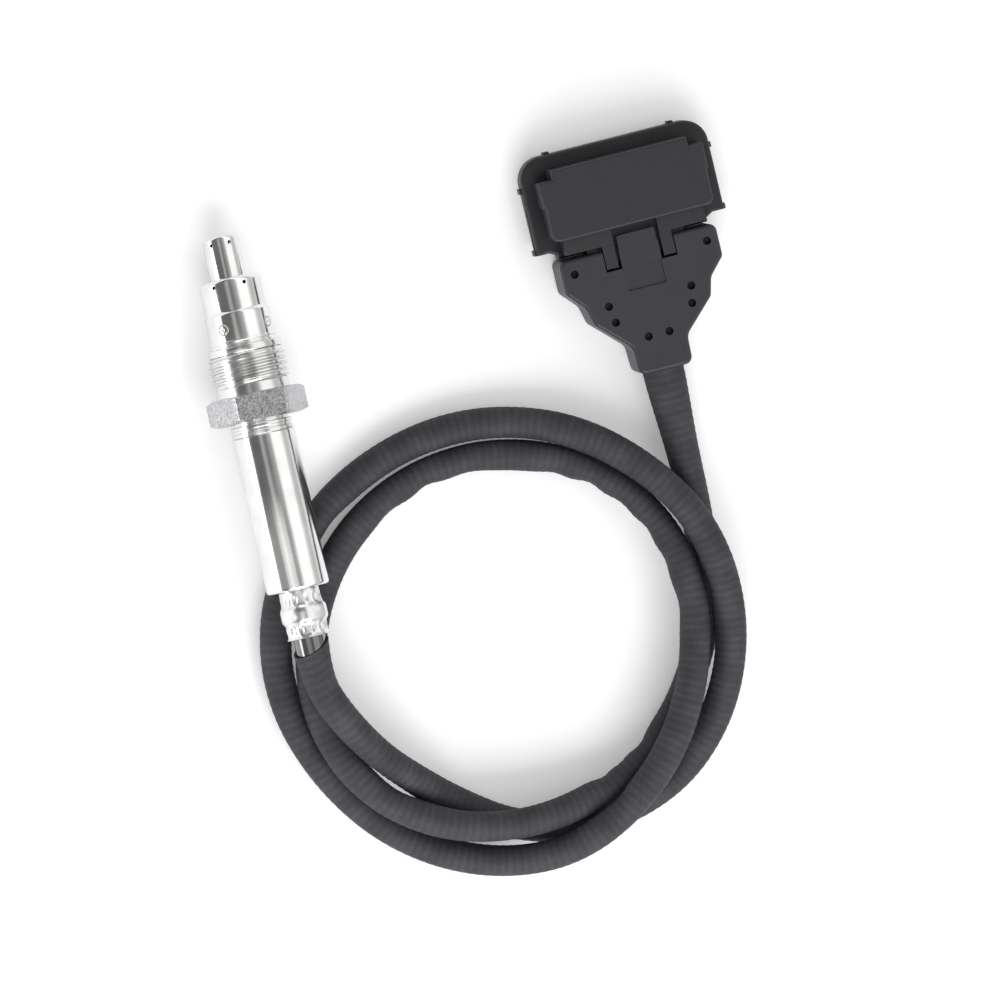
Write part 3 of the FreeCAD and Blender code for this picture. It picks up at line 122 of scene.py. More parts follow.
line_data = bpy.data.curves.new("cable_line", "CURVE")
line_data.dimensions = "3D"
line_data.resolution_u = POINTS_PER_SPAN
spline = line_data.splines.new("NURBS")
spline.points.add(len(CABLE_ROUTE) - 1)
for point, place in zip(spline.points, CABLE_ROUTE):
    point.co = (*place, 1)
spline.order_u = 3
spline.use_endpoint_u = True
line = bpy.data.objects.new("cable_line", line_data)
bpy.context.collection.objects.link(line)
line_mesh = bpy.data.meshes.new_from_object(line)
cable_path = [vertex.co.copy() for vertex in line_mesh.vertices]
bpy.data.objects.remove(line)

distances = [0.0]
for here, there in zip(cable_path, cable_path[1:]):
    distances.append(distances[-1] + (there - here).length)


def sleeve_radius(along, angle):
    """Radius of the sleeve at a distance along it and an angle from its right-hand side."""
    round_about = Vector((along / SWAY_LENGTH, math.cos(angle) * SWAY_ROUND,
                          math.sin(angle) * SWAY_ROUND))
    sway = noise.noise(round_about) * SWAY
    wear = noise.noise(round_about * 2.3 + Vector((7, 3, 1)))
    strength = RIB_EVENNESS + (1 - RIB_EVENNESS) * wear
    crest = 0.5 + 0.5 * math.cos(2 * math.pi * along / RIB_PITCH)
    radius = CABLE_DIAMETER / 2 + sway - RIB_HEIGHT * strength * (1 - crest)
    for place, depth, reach in PUCKERS:
        if abs(along - place) < PUCKER_END * reach * MM:
            inner = max(0.0, -math.cos(angle)) ** 1.5
            fade = math.exp(-((along - place) / (reach * MM)) ** 2)
            radius -= depth * MM * inner * fade
    if along < MOUTH_REACH:
        radius += MOUTH_FLARE * (1 - along / MOUTH_REACH) ** 2
    return radius


def sleeve_ring(number, inset=0.0):
    """Places of one ring of the sleeve, square to the cable's line."""
    centre, along = cable_path[number], distances[number]
    ahead = cable_path[min(number + 1, len(cable_path) - 1)]
    behind = cable_path[max(number - 1, 0)]
    forward = (ahead - behind).normalized()
    right = forward.cross(Vector((0, 0, 1))).normalized()
    upward = right.cross(forward)
    from_neck = distances[-1] - along - NECK_DEPTH
    spread = 1.0
    if from_neck > 0:
        squeezed = min(1.0, from_neck / NECK_SQUEEZE)
        spread += NECK_SPREAD * squeezed * math.exp(-(from_neck / NECK_SPREAD_REACH) ** 2)
    ring = []
    for side in range(CABLE_SIDES):
        angle = 2 * math.pi * side / CABLE_SIDES
        radius = sleeve_radius(along, angle) - inset
        place = centre + (right * math.cos(angle) * spread + upward * math.sin(angle)) * radius
        if along < MOUTH_REACH:
            share = 0.5 + 0.5 * math.cos(angle - MOUTH_LONG_SIDE)
            lip = MOUTH_SHORT_LIP + (MOUTH_LONG_LIP - MOUTH_SHORT_LIP) * share
            place -= forward * lip * (1 - along / MOUTH_REACH)
        place.z = max(place.z, FLOOR_GAP + inset)
        ring.append(place)
    return ring


lining = [number for number, along in enumerate(distances)
          if along < LINING_REACH][::LINING_STEP]
rings = [(distances[number], sleeve_ring(number, SLEEVE_WALL)) for number in lining[::-1]]
rings += [(distances[number], sleeve_ring(number)) for number in range(len(cable_path))]
sleeve_mesh = bpy.data.meshes.new("cable_sleeve")
build = bmesh.new()
sleeve_uv = build.loops.layers.uv.new("sleeve")
stations = [along for along, ring in rings]
rows = [[build.verts.new(place) for place in ring] for along, ring in rings]
for along, along_next, row, row_next in zip(stations, stations[1:], rows, rows[1:]):
    for side in range(CABLE_SIDES):
        after = (side + 1) % CABLE_SIDES
        face = build.faces.new((row[side], row_next[side], row_next[after], row[after]))
        face.smooth = True
        spread = ((along, side), (along_next, side), (along_next, side + 1), (along, side + 1))
        for loop, (distance, step) in zip(face.loops, spread):
            loop[sleeve_uv].uv = (distance, step / CABLE_SIDES)
build.faces.new(rows[0])
build.faces.new(rows[-1][::-1])
bmesh.ops.recalc_face_normals(build, faces=build.faces)
build.to_mesh(sleeve_mesh)
build.free()
cable = bpy.data.objects.new("cable_sleeve", sleeve_mesh)
bpy.context.collection.objects.link(cable)


def new_material(name):
    """A material with its tree and its principled shader."""
    made = bpy.data.materials.new(name)
    made.use_nodes = True
    return made, made.node_tree, made.node_tree.nodes["Principled BSDF"]


def add_node(tree, kind, sources=(), **settings):
    """A node with settings on it, and its inputs set or linked from (input, value) pairs."""
    node = tree.nodes.new("ShaderNode" + kind)
    for name, setting in settings.items():
        setattr(node, name, setting)
    for name, source in sources:
        if isinstance(source, bpy.types.NodeSocket):
            tree.links.new(source, node.inputs[name])
        else:
            node.inputs[name].default_value = source
    return node


def blend_colours(tree, factor, stops):
    """A colour ramp from (position, colour) stops, driven by a factor."""
    ramp = add_node(tree, "ValToRGB", [("Fac", factor)])
    elements = ramp.color_ramp.elements
    while len(elements) < len(stops):
        elements.new(1.0)
    for element, (position, colour) in zip(elements, stops):
        element.position = position
        element.color = (*colour, 1)
    return ramp.outputs["Color"]


def raise_surface(tree, shader, height, depth, strength=1.0):
    """Bump on a shader, added to any bump that it has already."""
    bump = add_node(tree, "Bump", [("Height", height), ("Distance", depth), ("Strength", strength)])
    if shader.inputs["Normal"].is_linked:
        tree.links.new(shader.inputs["Normal"].links[0].from_socket, bump.inputs["Normal"])
    tree.links.new(bump.outputs["Normal"], shader.inputs["Normal"])


def speckle(tree, source, scale, detail=3.0, distortion=0.0):
    """Noise of one grain size, per metre, over a set of coordinates."""
    node = add_node(tree, "TexNoise", [("Vector", source), ("Scale", scale), ("Detail", detail),
                                       ("Distortion", distortion)])
    return node.outputs["Fac"]


sleeve_cloth, tree, shader = new_material("coated_sleeve")
place = add_node(tree, "TexCoord").outputs["Object"]
ribbon = add_node(tree, "UVMap", uv_map="sleeve").outputs["UV"]
spread = add_node(tree, "SeparateXYZ", [("Vector", ribbon)])
turns = add_node(tree, "Math", [(0, spread.outputs["X"]), (1, 2 * math.pi / RIB_PITCH)],
                 operation="MULTIPLY")
crests = add_node(tree, "Math", [(0, turns.outputs["Value"])], operation="COSINE")
patches = speckle(tree, place, 160, 3)
grit = speckle(tree, place, 2600, 2)
# Painted shade and highlight: the sleeve is darker in the troughs between its ribs and lighter on
# their crests.
rib_shade_tone = add_node(tree, "Math", [(0, crests.outputs["Value"]), (1, 0.09), (2, patches)],
                    operation="MULTIPLY_ADD")
tone = add_node(tree, "Math", [(0, grit), (1, 0.35), (2, rib_shade_tone.outputs["Value"])],
                operation="MULTIPLY_ADD")
colour = blend_colours(tree, tone.outputs["Value"], [
    (0.35, (0.026, 0.026, 0.030)), (0.7, (0.040, 0.040, 0.046)), (1.0, (0.060, 0.060, 0.068))])
tree.links.new(colour, shader.inputs["Base Color"])
shader.inputs["Roughness"].default_value = 0.68
shader.inputs["Specular IOR Level"].default_value = 0.35
weave_place = add_node(tree, "Mapping", [("Vector", ribbon), ("Scale", (1900, 46, 1))])
threads = add_node(tree, "TexVoronoi", [("Vector", weave_place.outputs["Vector"]), ("Scale", 1.0)])
raise_surface(tree, shader, threads.outputs["Distance"], 0.05 * MM, 0.5)
raise_surface(tree, shader, grit, 0.06 * MM, 0.8)
cable.data.materials.append(sleeve_cloth)

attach(cable, "root")
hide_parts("cable")

# Gas end: a deep-drawn stainless tube, closed and rounded at its end, with a ring of six
# small gas holes. It stands out of the outer shield, and its wide foot is held inside.
JOINT = frame["joints"][0]
TO_TIP = Vector(JOINT["axis"]).normalized()
NUT_MIDDLE = 33.725 * MM
# Points closer than this are one point.
MERGE = 0.002 * MM
# The probe's own frame: its origin in the tip's end face, Z from there to the cable.
probe_frame = Matrix.Identity(4)
upright = Vector((0, -TO_TIP.z, TO_TIP.y))
for axis in range(3):
    probe_frame[axis][1] = upright[axis]
    probe_frame[axis][2] = -TO_TIP[axis]
    probe_frame[axis][3] = JOINT["pos_m"][axis] + TO_TIP[axis] * NUT_MIDDLE


def start_edit(piece):
    """Only this piece selected and in edit mode, with nothing selected in it."""
    bpy.ops.object.select_all(action="DESELECT")
    piece.select_set(True)
    bpy.context.view_layer.objects.active = piece
    bpy.ops.object.mode_set(mode="EDIT")
    bpy.ops.mesh.select_mode(type="EDGE")
    bpy.ops.mesh.select_all(action="DESELECT")


def turned(name, rings, closed=False, sides=128):
    """A turned piece: a circle carried from ring to ring, each (station, radius) in mm.
    A closed one ends where it began, and any other has its two ends filled."""
    bpy.ops.object.select_all(action="DESELECT")
    start, first_radius = rings[0]
    bpy.ops.mesh.primitive_circle_add(
        vertices=sides, radius=first_radius * MM, location=(0, 0, 0),
        fill_type="NOTHING" if closed else "NGON")
    piece = bpy.context.object
    piece.name = name
    bpy.ops.object.mode_set(mode="EDIT")
    bpy.ops.mesh.select_mode(type="EDGE")
    bpy.ops.mesh.select_all(action="SELECT")
    bpy.ops.transform.translate(value=(0, 0, start * MM))
    steps = rings + [rings[0]] if closed else rings
    if not closed:
        rim = bmesh.from_edit_mesh(piece.data)
        for face in rim.faces:
            face.select = False
        for edge in rim.edges:
            edge.select = True
        bmesh.update_edit_mesh(piece.data)
    for (here, radius), (there, radius_next) in zip(steps, steps[1:]):
        bpy.ops.mesh.extrude_edges_move(
            TRANSFORM_OT_translate={"value": (0, 0, (there - here) * MM)})
        ratio = radius_next / radius
        bpy.ops.transform.resize(value=(ratio, ratio, 1), center_override=(0, 0, there * MM))
    if not closed:
        bpy.ops.mesh.edge_face_add()
    bpy.ops.mesh.select_all(action="SELECT")
    bpy.ops.mesh.remove_doubles(threshold=MERGE)
    bpy.ops.mesh.normals_make_consistent(inside=False)
    bpy.ops.object.mode_set(mode="OBJECT")
    return piece


# A rim is found by its place to within this, in mm.
RIM_REACH = 0.01


def round_rims(piece, rims, width, segments=4):
    """Round the circular edges at the given (station, radius) places."""
    start_edit(piece)
    mesh = bmesh.from_edit_mesh(piece.data)
    for edge in mesh.edges:
        ends = [(v.co.z / MM, math.hypot(v.co.x, v.co.y) / MM) for v in edge.verts]
        edge.select = any(all(abs(station - s) < RIM_REACH and abs(radius - r) < RIM_REACH
                              for s, r in ends) for station, radius in rims)
    bmesh.update_edit_mesh(piece.data)
    bpy.ops.mesh.bevel(offset=width * MM, segments=segments, affect="EDGES")
    bpy.ops.object.mode_set(mode="OBJECT")


def cut_away(piece, cutter, operation="DIFFERENCE"):
    """Take a cutter out of a piece, or keep only what lies in it, and delete the cutter."""
    bpy.ops.object.select_all(action="DESELECT")
    piece.select_set(True)
    bpy.context.view_layer.objects.active = piece
    step = piece.modifiers.new("cut", "BOOLEAN")
    step.operation = operation
    step.solver = "EXACT"
    step.object = cutter
    bpy.ops.object.modifier_apply(modifier=step.name)
    bpy.data.objects.remove(cutter)


VENT_DIAMETER = 0.95
VENT_COUNT = 6
VENT_TURN = 20.5


def vent_holes(station, reach):
    """Cutters for a ring of gas holes: one cylinder, spun about the probe's axis."""
    bpy.ops.object.select_all(action="DESELECT")
    first = math.radians(90 - VENT_TURN)
    middle = reach * 0.75 * MM
    bpy.ops.mesh.primitive_cylinder_add(
        vertices=24, radius=VENT_DIAMETER / 2 * MM, depth=reach * 0.6 * MM,
        location=(middle * math.cos(first), middle * math.sin(first), station * MM),
        rotation=(0, math.radians(90), first))
    cutter = bpy.context.object
    bpy.ops.object.transform_apply(location=True, rotation=True, scale=True)
    bpy.ops.object.mode_set(mode="EDIT")
    bpy.ops.mesh.select_all(action="SELECT")
    bpy.ops.mesh.spin(steps=VENT_COUNT - 1, dupli=True, center=(0, 0, 0), axis=(0, 0, 1),
                      angle=2 * math.pi * (VENT_COUNT - 1) / VENT_COUNT)
    bpy.ops.object.mode_set(mode="OBJECT")
    return cutter


# Faces given painted shade, near black: those that look inwards by this share, and those in a vent,
# no farther from its middle than this and this much below the surface, in mm.
INWARDS = 0.5
VENT_SHADE_REACH = 0.6
VENT_LIP = 0.05


def set_on_probe(piece, material, sharpest=40, vents=None):
    """Smooth a piece up to its sharp edges, lay it on the probe's axis and give its finish.
    With a ring of vents at (station, outer radius) its inside gets painted shade, near black."""
    inside = []
    if vents:
        for face in piece.data.polygons:
            outward = Vector((face.center.x, face.center.y, 0)).normalized().dot(face.normal)
            along = abs(face.center.z / MM - vents[0])
            sunk = vents[1] - math.hypot(face.center.x, face.center.y) / MM
            in_vent = along < VENT_SHADE_REACH and abs(outward) < VENT_SHADE_REACH and sunk > VENT_LIP
            if outward < -INWARDS or in_vent:
                inside.append(face.index)
    bpy.ops.object.select_all(action="DESELECT")
    piece.select_set(True)
    bpy.context.view_layer.objects.active = piece
    bpy.ops.object.shade_smooth_by_angle(angle=math.radians(sharpest))
    piece.matrix_world = probe_frame
    bpy.ops.object.transform_apply(location=True, rotation=True, scale=True)
    if material:
        piece.data.materials.clear()
        piece.data.materials.append(material)
    if inside:
        piece.data.materials.append(painted_vent_shade)
        for number in inside:
            piece.data.polygons[number].material_index = 1


def new_steel(name, colour, roughness, grain=0.5, lines=0.0):
    """Stainless steel: cloudy sheen, sandy grain and, where it is turned, fine lines round it."""
    made, tree, shader = new_material(name)
    place = add_node(tree, "TexCoord").outputs["Object"]
    clouds = speckle(tree, place, 140, 4)
    sand = speckle(tree, place, 5200, 3)
    darker = tuple(channel * 0.86 for channel in colour)
    tint = blend_colours(tree, clouds, [(0.3, darker), (0.7, colour)])
    tree.links.new(tint, shader.inputs["Base Color"])
    shader.inputs["Metallic"].default_value = 1.0
    sheen = add_node(tree, "MapRange", [("Value", clouds), ("From Min", 0.3), ("From Max", 0.7),
                                        ("To Min", roughness * 0.8), ("To Max", roughness * 1.25)])
    tree.links.new(sheen.outputs["Result"], shader.inputs["Roughness"])
    raise_surface(tree, shader, sand, 0.02 * MM, grain)
    if lines:
        station = add_node(tree, "VectorMath", [(0, place), (1, tuple(TO_TIP))],
                           operation="DOT_PRODUCT")
        marks = add_node(tree, "TexNoise", [("W", station.outputs["Value"]), ("Scale", 5000),
                                            ("Detail", 3)], noise_dimensions="1D")
        raise_surface(tree, shader, marks.outputs["Fac"], 0.02 * MM, lines)
    return made


drawn_steel = new_steel("drawn_steel", (0.88, 0.875, 0.865), 0.12)
# Painted shade: a near-black finish for the insides of the tip and shield and the walls of their
# vents.
painted_vent_shade, tree, shader = new_material("painted_vent_shade")
place = add_node(tree, "TexCoord").outputs["Object"]
tint = blend_colours(tree, speckle(tree, place, 900, 3), [
    (0.35, (0.006, 0.006, 0.006)), (0.7, (0.014, 0.013, 0.012))])
tree.links.new(tint, shader.inputs["Base Color"])
shader.inputs["Roughness"].default_value = 0.9
TIP_RADIUS = 4.6
TIP_WALL = 0.4
TIP_ROUNDING = 0.95
TIP_VENTS = 2.0
TIP_FOOT, TIP_FOOT_RADIUS = 20.2, 7.0
tip = turned("tip_shield_drawn", [
    (TIP_WALL, TIP_RADIUS - TIP_WALL), (TIP_FOOT, TIP_RADIUS - TIP_WALL),
    (TIP_FOOT, TIP_FOOT_RADIUS), (TIP_FOOT - TIP_WALL, TIP_FOOT_RADIUS),
    (TIP_FOOT - TIP_WALL, TIP_RADIUS), (0, TIP_RADIUS)])
round_rims(tip, [(0, TIP_RADIUS)], TIP_ROUNDING, 6)
cut_away(tip, vent_holes(TIP_VENTS, TIP_RADIUS))
set_on_probe(tip, drawn_steel, vents=(TIP_VENTS, TIP_RADIUS))
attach(tip, "root")
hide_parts("tip_shield")

# Outer shield: a second drawn cap round the first, stepped out where it is pushed over the
# housing and held by four round weld spots. A ring of six gas holes lies below its shoulder.
WELD_STATION = 23.3
WELD_TURNS = (-37, 53, 143, -127)
WELD_RADIUS = 1.2 * MM
WELD_RING_WIDTH = 0.24 * MM
WELD_DOT_RADIUS = 0.4 * MM
WELD_DEPTH = 0.12 * MM
SHIELD_FRONT, SHIELD_RADIUS = 10.65, 7.8
SHIELD_WALL = 0.5
SHIELD_BORE = 4.65
SHIELD_ROUNDING = 1.3
SHIELD_VENTS = 12.55
STEP_FRONT, STEP_REAR = 19.0, 19.5
COLLAR_RADIUS = 8.3
COLLAR_END = 26.2
welded_steel = drawn_steel.copy()
welded_steel.name = "welded_steel"
tree = welded_steel.node_tree
shader = tree.nodes["Principled BSDF"]
place = add_node(tree, "TexCoord").outputs["Object"]
marks = None
for turn in WELD_TURNS:
    side = math.radians(turn)
    spot = probe_frame @ (Vector((math.sin(side) * COLLAR_RADIUS, math.cos(side) * COLLAR_RADIUS,
                                  WELD_STATION)) * MM)
    apart = add_node(tree, "VectorMath", [(0, place), (1, tuple(spot))], operation="DISTANCE")
    off_ring = add_node(tree, "Math", [(0, apart.outputs["Value"]), (1, WELD_RADIUS)],
                        operation="SUBTRACT")
    width = add_node(tree, "Math", [(0, off_ring.outputs["Value"])], operation="ABSOLUTE")
    ring = add_node(tree, "MapRange", [
        ("Value", width.outputs["Value"]), ("From Min", 0.0), ("From Max", WELD_RING_WIDTH),
        ("To Min", 1.0), ("To Max", 0.0)], interpolation_type="SMOOTHSTEP")
    dot = add_node(tree, "MapRange", [
        ("Value", apart.outputs["Value"]), ("From Min", 0.0), ("From Max", WELD_DOT_RADIUS),
        ("To Min", 0.7), ("To Max", 0.0)], interpolation_type="SMOOTHSTEP")
    spot_mark = add_node(tree, "Math", [(0, ring.outputs["Result"]), (1, dot.outputs["Result"])],
                         operation="MAXIMUM").outputs["Value"]
    marks = spot_mark if marks is None else add_node(
        tree, "Math", [(0, marks), (1, spot_mark)], operation="MAXIMUM").outputs["Value"]
sunk = add_node(tree, "Math", [(0, 1.0), (1, marks)], operation="SUBTRACT").outputs["Value"]
raise_surface(tree, shader, sunk, WELD_DEPTH, 0.9)
before = shader.inputs["Base Color"].links[0].from_socket
scorched = add_node(tree, "MixRGB", [("Fac", marks), ("Color1", before),
                                     ("Color2", (0.20, 0.18, 0.16, 1))])
tree.links.new(scorched.outputs["Color"], shader.inputs["Base Color"])

shield = turned("outer_shield_drawn", [
    (SHIELD_FRONT, SHIELD_BORE), (SHIELD_FRONT, SHIELD_RADIUS), (STEP_FRONT, SHIELD_RADIUS),
    (STEP_REAR, COLLAR_RADIUS), (COLLAR_END, COLLAR_RADIUS),
    (COLLAR_END, COLLAR_RADIUS - SHIELD_WALL), (STEP_REAR + 0.3, COLLAR_RADIUS - SHIELD_WALL),
    (STEP_FRONT + 0.3, SHIELD_RADIUS - SHIELD_WALL),
    (SHIELD_FRONT + SHIELD_WALL, SHIELD_RADIUS - SHIELD_WALL),
    (SHIELD_FRONT + SHIELD_WALL, SHIELD_BORE)], closed=True)
round_rims(shield, [(SHIELD_FRONT, SHIELD_RADIUS)], SHIELD_ROUNDING, 6)
round_rims(shield, [(STEP_FRONT, SHIELD_RADIUS), (STEP_REAR, COLLAR_RADIUS)], 0.3, 3)
cut_away(shield, vent_holes(SHIELD_VENTS, SHIELD_RADIUS))
set_on_probe(shield, welded_steel, vents=(SHIELD_VENTS, SHIELD_RADIUS))
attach(shield, "root")
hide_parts("outer_shield")

# Sealing ring: folded from stainless strip, so that a waist runs between its two rims. It
# sits loose on the housing, in front of the flange that presses it on its seat.
GASKET_BORE = 7.8
GASKET_FRONT, FRONT_RIM_END, FRONT_RIM_RADIUS = 26.2, 26.75, 8.7
REAR_RIM_START, GASKET_REAR, REAR_RIM_RADIUS = 27.25, 27.8, 8.65
gasket = turned("gasket_folded", [
    (GASKET_FRONT, GASKET_BORE), (GASKET_FRONT, FRONT_RIM_RADIUS),
    (FRONT_RIM_END, FRONT_RIM_RADIUS), (FRONT_RIM_END + 0.1, FRONT_RIM_RADIUS - 0.35),
    (REAR_RIM_START - 0.1, REAR_RIM_RADIUS - 0.35), (REAR_RIM_START, REAR_RIM_RADIUS),
    (GASKET_REAR, REAR_RIM_RADIUS), (GASKET_REAR, GASKET_BORE)], closed=True)
round_rims(gasket, [(GASKET_FRONT, FRONT_RIM_RADIUS), (FRONT_RIM_END, FRONT_RIM_RADIUS),
                    (REAR_RIM_START, REAR_RIM_RADIUS), (GASKET_REAR, REAR_RIM_RADIUS)], 0.2, 3)
set_on_probe(gasket, drawn_steel)
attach(gasket, "root")
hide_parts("gasket")

# Housing: turned from stainless bar. Only the rim of its flange shows, and inside it holds
# the ceramic parts, with a smooth neck on which the nut turns.
lathe_steel = new_steel("lathe_steel", (0.82, 0.815, 0.805), 0.18, 0.35, 0.6)
SPIGOT_RADIUS = 7.75
ELEMENT_HOLE, HOLE_END = 2.9, 24.2
FLANGE_RADIUS, FLANGE_REAR = 9.35, 29.6
HOUSING_NECK, HOUSING_BORE, HOUSING_END = 7.0, 5.5, 62.5
housing = turned("housing_turned", [
    (TIP_FOOT, ELEMENT_HOLE), (TIP_FOOT, SPIGOT_RADIUS), (GASKET_REAR, SPIGOT_RADIUS),
    (GASKET_REAR, FLANGE_RADIUS), (FLANGE_REAR, FLANGE_RADIUS), (FLANGE_REAR, HOUSING_NECK),
    (HOUSING_END, HOUSING_NECK), (HOUSING_END, HOUSING_BORE), (HOLE_END, HOUSING_BORE),
    (HOLE_END, ELEMENT_HOLE)], closed=True)
round_rims(housing, [(GASKET_REAR, FLANGE_RADIUS), (FLANGE_REAR, FLANGE_RADIUS)], 0.3, 3)
set_on_probe(housing, lathe_steel)
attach(housing, "root")
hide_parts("housing")

# Fitting nut: a hot-forged hexagon whose front is turned and threaded, metric, 20 mm with a
# pitch of 1.5 mm. It is captive between the flange and the collar, and turns freely.
THREAD_PITCH = 1.5
THREAD_START, THREAD_END = 29.7, 37.75
THREAD_CREST, THREAD_ROOT = 10.0, 9.08
THREAD_TURNS = 8
# At both ends of the thread the crests are held down: height at the end, rise per mm.
LEAD_IN, LEAD_IN_RISE = 0.05, 1.1
RUN_OUT, RUN_OUT_RISE = 0.1, 1.0
SHANK_START, SHANK_END = 37.6, 41.2
SHANK_RADIUS, SHANK_CORE = 9.3, 9.0
BORE = 7.08
HEX_START, HEX_END = 40.0, 46.8
HEX_FLAT = 11.0
HEX_CHAMFER, HEX_CORNER = 0.75, 12.75

flank = [(THREAD_ROOT, 0.0), (THREAD_ROOT, 0.18), (THREAD_CREST, 0.66), (THREAD_CREST, 0.84),
         (THREAD_ROOT, 1.32), (THREAD_ROOT, THREAD_PITCH)]
start = THREAD_START - 1.6 * THREAD_PITCH
thread_data = bpy.data.meshes.new("nut_thread")
thread_data.from_pydata([(radius * MM, 0, (start + rise) * MM) for radius, rise in flank],
                        [(number, number + 1) for number in range(len(flank) - 1)], [])
thread = bpy.data.objects.new("nut_thread", thread_data)
bpy.context.collection.objects.link(thread)
bpy.ops.object.select_all(action="DESELECT")
thread.select_set(True)
bpy.context.view_layer.objects.active = thread
winding = thread.modifiers.new("winding", "SCREW")
winding.axis = "Z"
winding.screw_offset = THREAD_PITCH * MM
winding.iterations = THREAD_TURNS
winding.steps = winding.render_steps = 96
winding.use_merge_vertices = True
winding.merge_threshold = 0.001 * MM
bpy.ops.object.modifier_apply(modifier=winding.name)
start_edit(thread)
bpy.ops.mesh.select_all(action="SELECT")
bpy.ops.mesh.remove_doubles(threshold=MERGE)
for station, away in ((THREAD_START, -1), (THREAD_END, 1)):
    bpy.ops.mesh.select_all(action="SELECT")
    bpy.ops.mesh.bisect(plane_co=(0, 0, station * MM), plane_no=(0, 0, away), use_fill=True,
                        clear_outer=True, clear_inner=False)
bpy.ops.mesh.select_all(action="SELECT")
bpy.ops.mesh.normals_make_consistent(inside=False)
bpy.ops.object.mode_set(mode="OBJECT")
for vertex in thread.data.vertices:
    station, radius = vertex.co.z / MM, math.hypot(vertex.co.x, vertex.co.y) / MM
    limit = min(THREAD_ROOT + LEAD_IN + (station - THREAD_START) * LEAD_IN_RISE,
                THREAD_ROOT + RUN_OUT + (THREAD_END - station) * RUN_OUT_RISE)
    if radius > limit:
        vertex.co.x *= limit / radius
        vertex.co.y *= limit / radius

shank = turned("nut_shank", [
    (SHANK_START, SHANK_CORE), (SHANK_START, SHANK_RADIUS), (SHANK_END, SHANK_RADIUS),
    (SHANK_END, SHANK_CORE)], sides=96)
round_rims(shank, [(SHANK_START, SHANK_RADIUS)], 0.2, 2)

bpy.ops.object.select_all(action="DESELECT")
bpy.ops.mesh.primitive_cylinder_add(
    vertices=6, radius=HEX_FLAT / math.cos(math.radians(30)) * MM,
    depth=(HEX_END - HEX_START) * MM, location=(0, 0, (HEX_START + HEX_END) / 2 * MM),
    rotation=(0, 0, math.radians(30)))
hexagon = bpy.context.object
bpy.ops.object.transform_apply(location=True, rotation=True, scale=True)
start_edit(hexagon)
mesh = bmesh.from_edit_mesh(hexagon.data)
for edge in mesh.edges:
    edge.select = abs(edge.verts[0].co.z - edge.verts[1].co.z) > 1 * MM
bmesh.update_edit_mesh(hexagon.data)
bpy.ops.mesh.bevel(offset=0.3 * MM, segments=3, affect="EDGES")
bpy.ops.object.mode_set(mode="OBJECT")
cut_away(hexagon, turned("hex_cone", [
    (HEX_START, HEX_FLAT - 0.1), (HEX_START + HEX_CHAMFER, HEX_CORNER),
    (HEX_END - HEX_CHAMFER, HEX_CORNER), (HEX_END, HEX_FLAT - 0.1)]), "INTERSECT")

forged_steel, tree, shader = new_material("forged_steel")
place = add_node(tree, "TexCoord").outputs["Object"]
scale_marks = speckle(tree, place, 1300, 3, 1.6)
pits = speckle(tree, place, 4200, 2)
tint = blend_colours(tree, scale_marks, [
    (0.36, (0.36, 0.36, 0.37)), (0.52, (0.53, 0.53, 0.54)), (0.66, (0.66, 0.66, 0.67))])
tree.links.new(tint, shader.inputs["Base Color"])
shader.inputs["Metallic"].default_value = 1.0
shader.inputs["Roughness"].default_value = 0.2
raise_surface(tree, shader, scale_marks, 0.12 * MM, 0.8)
raise_surface(tree, shader, pits, 0.04 * MM, 0.6)
for part, finish in ((thread, lathe_steel), (shank, lathe_steel), (hexagon, forged_steel)):
    cut_away(part, turned("nut_bore", [(THREAD_START - 2, BORE), (HEX_END + 2, BORE)]))
    part.data.materials.clear()
    part.data.materials.append(finish)
bpy.ops.object.select_all(action="DESELECT")
for part in (thread, shank, hexagon):
    part.select_set(True)
bpy.context.view_layer.objects.active = thread
bpy.ops.object.join()
nut = thread
nut.name = "fitting_nut_forged"
set_on_probe(nut, None, 30)
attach(nut, "nut")
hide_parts("fitting_nut")

# Retaining collar: a turned ring pressed on the neck behind the nut, with a spigot on which
# the outer sleeve is welded.
RING_BORE, RING_RADIUS = 7.05, 7.75
RING_FRONT, RING_REAR = 47.6, 50.5
GROOVE_START, GROOVE_END, GROOVE_RADIUS = 48.5, 49.45, 7.5
GROOVE_SLOPE = 0.15
RING_SPIGOT_RADIUS, RING_SPIGOT_END = 7.35, 55.0
retainer = turned("retaining_collar_turned", [
    (RING_FRONT, RING_BORE), (RING_FRONT, RING_RADIUS), (GROOVE_START, RING_RADIUS),
    (GROOVE_START + GROOVE_SLOPE, GROOVE_RADIUS), (GROOVE_END - GROOVE_SLOPE, GROOVE_RADIUS),
    (GROOVE_END, RING_RADIUS), (RING_REAR, RING_RADIUS), (RING_REAR, RING_SPIGOT_RADIUS),
    (RING_SPIGOT_END, RING_SPIGOT_RADIUS), (RING_SPIGOT_END, RING_BORE)], closed=True)
round_rims(retainer, [(RING_FRONT, RING_RADIUS), (RING_REAR, RING_RADIUS)], 0.25, 3)
set_on_probe(retainer, lathe_steel)
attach(retainer, "root")
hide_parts("retaining_collar")

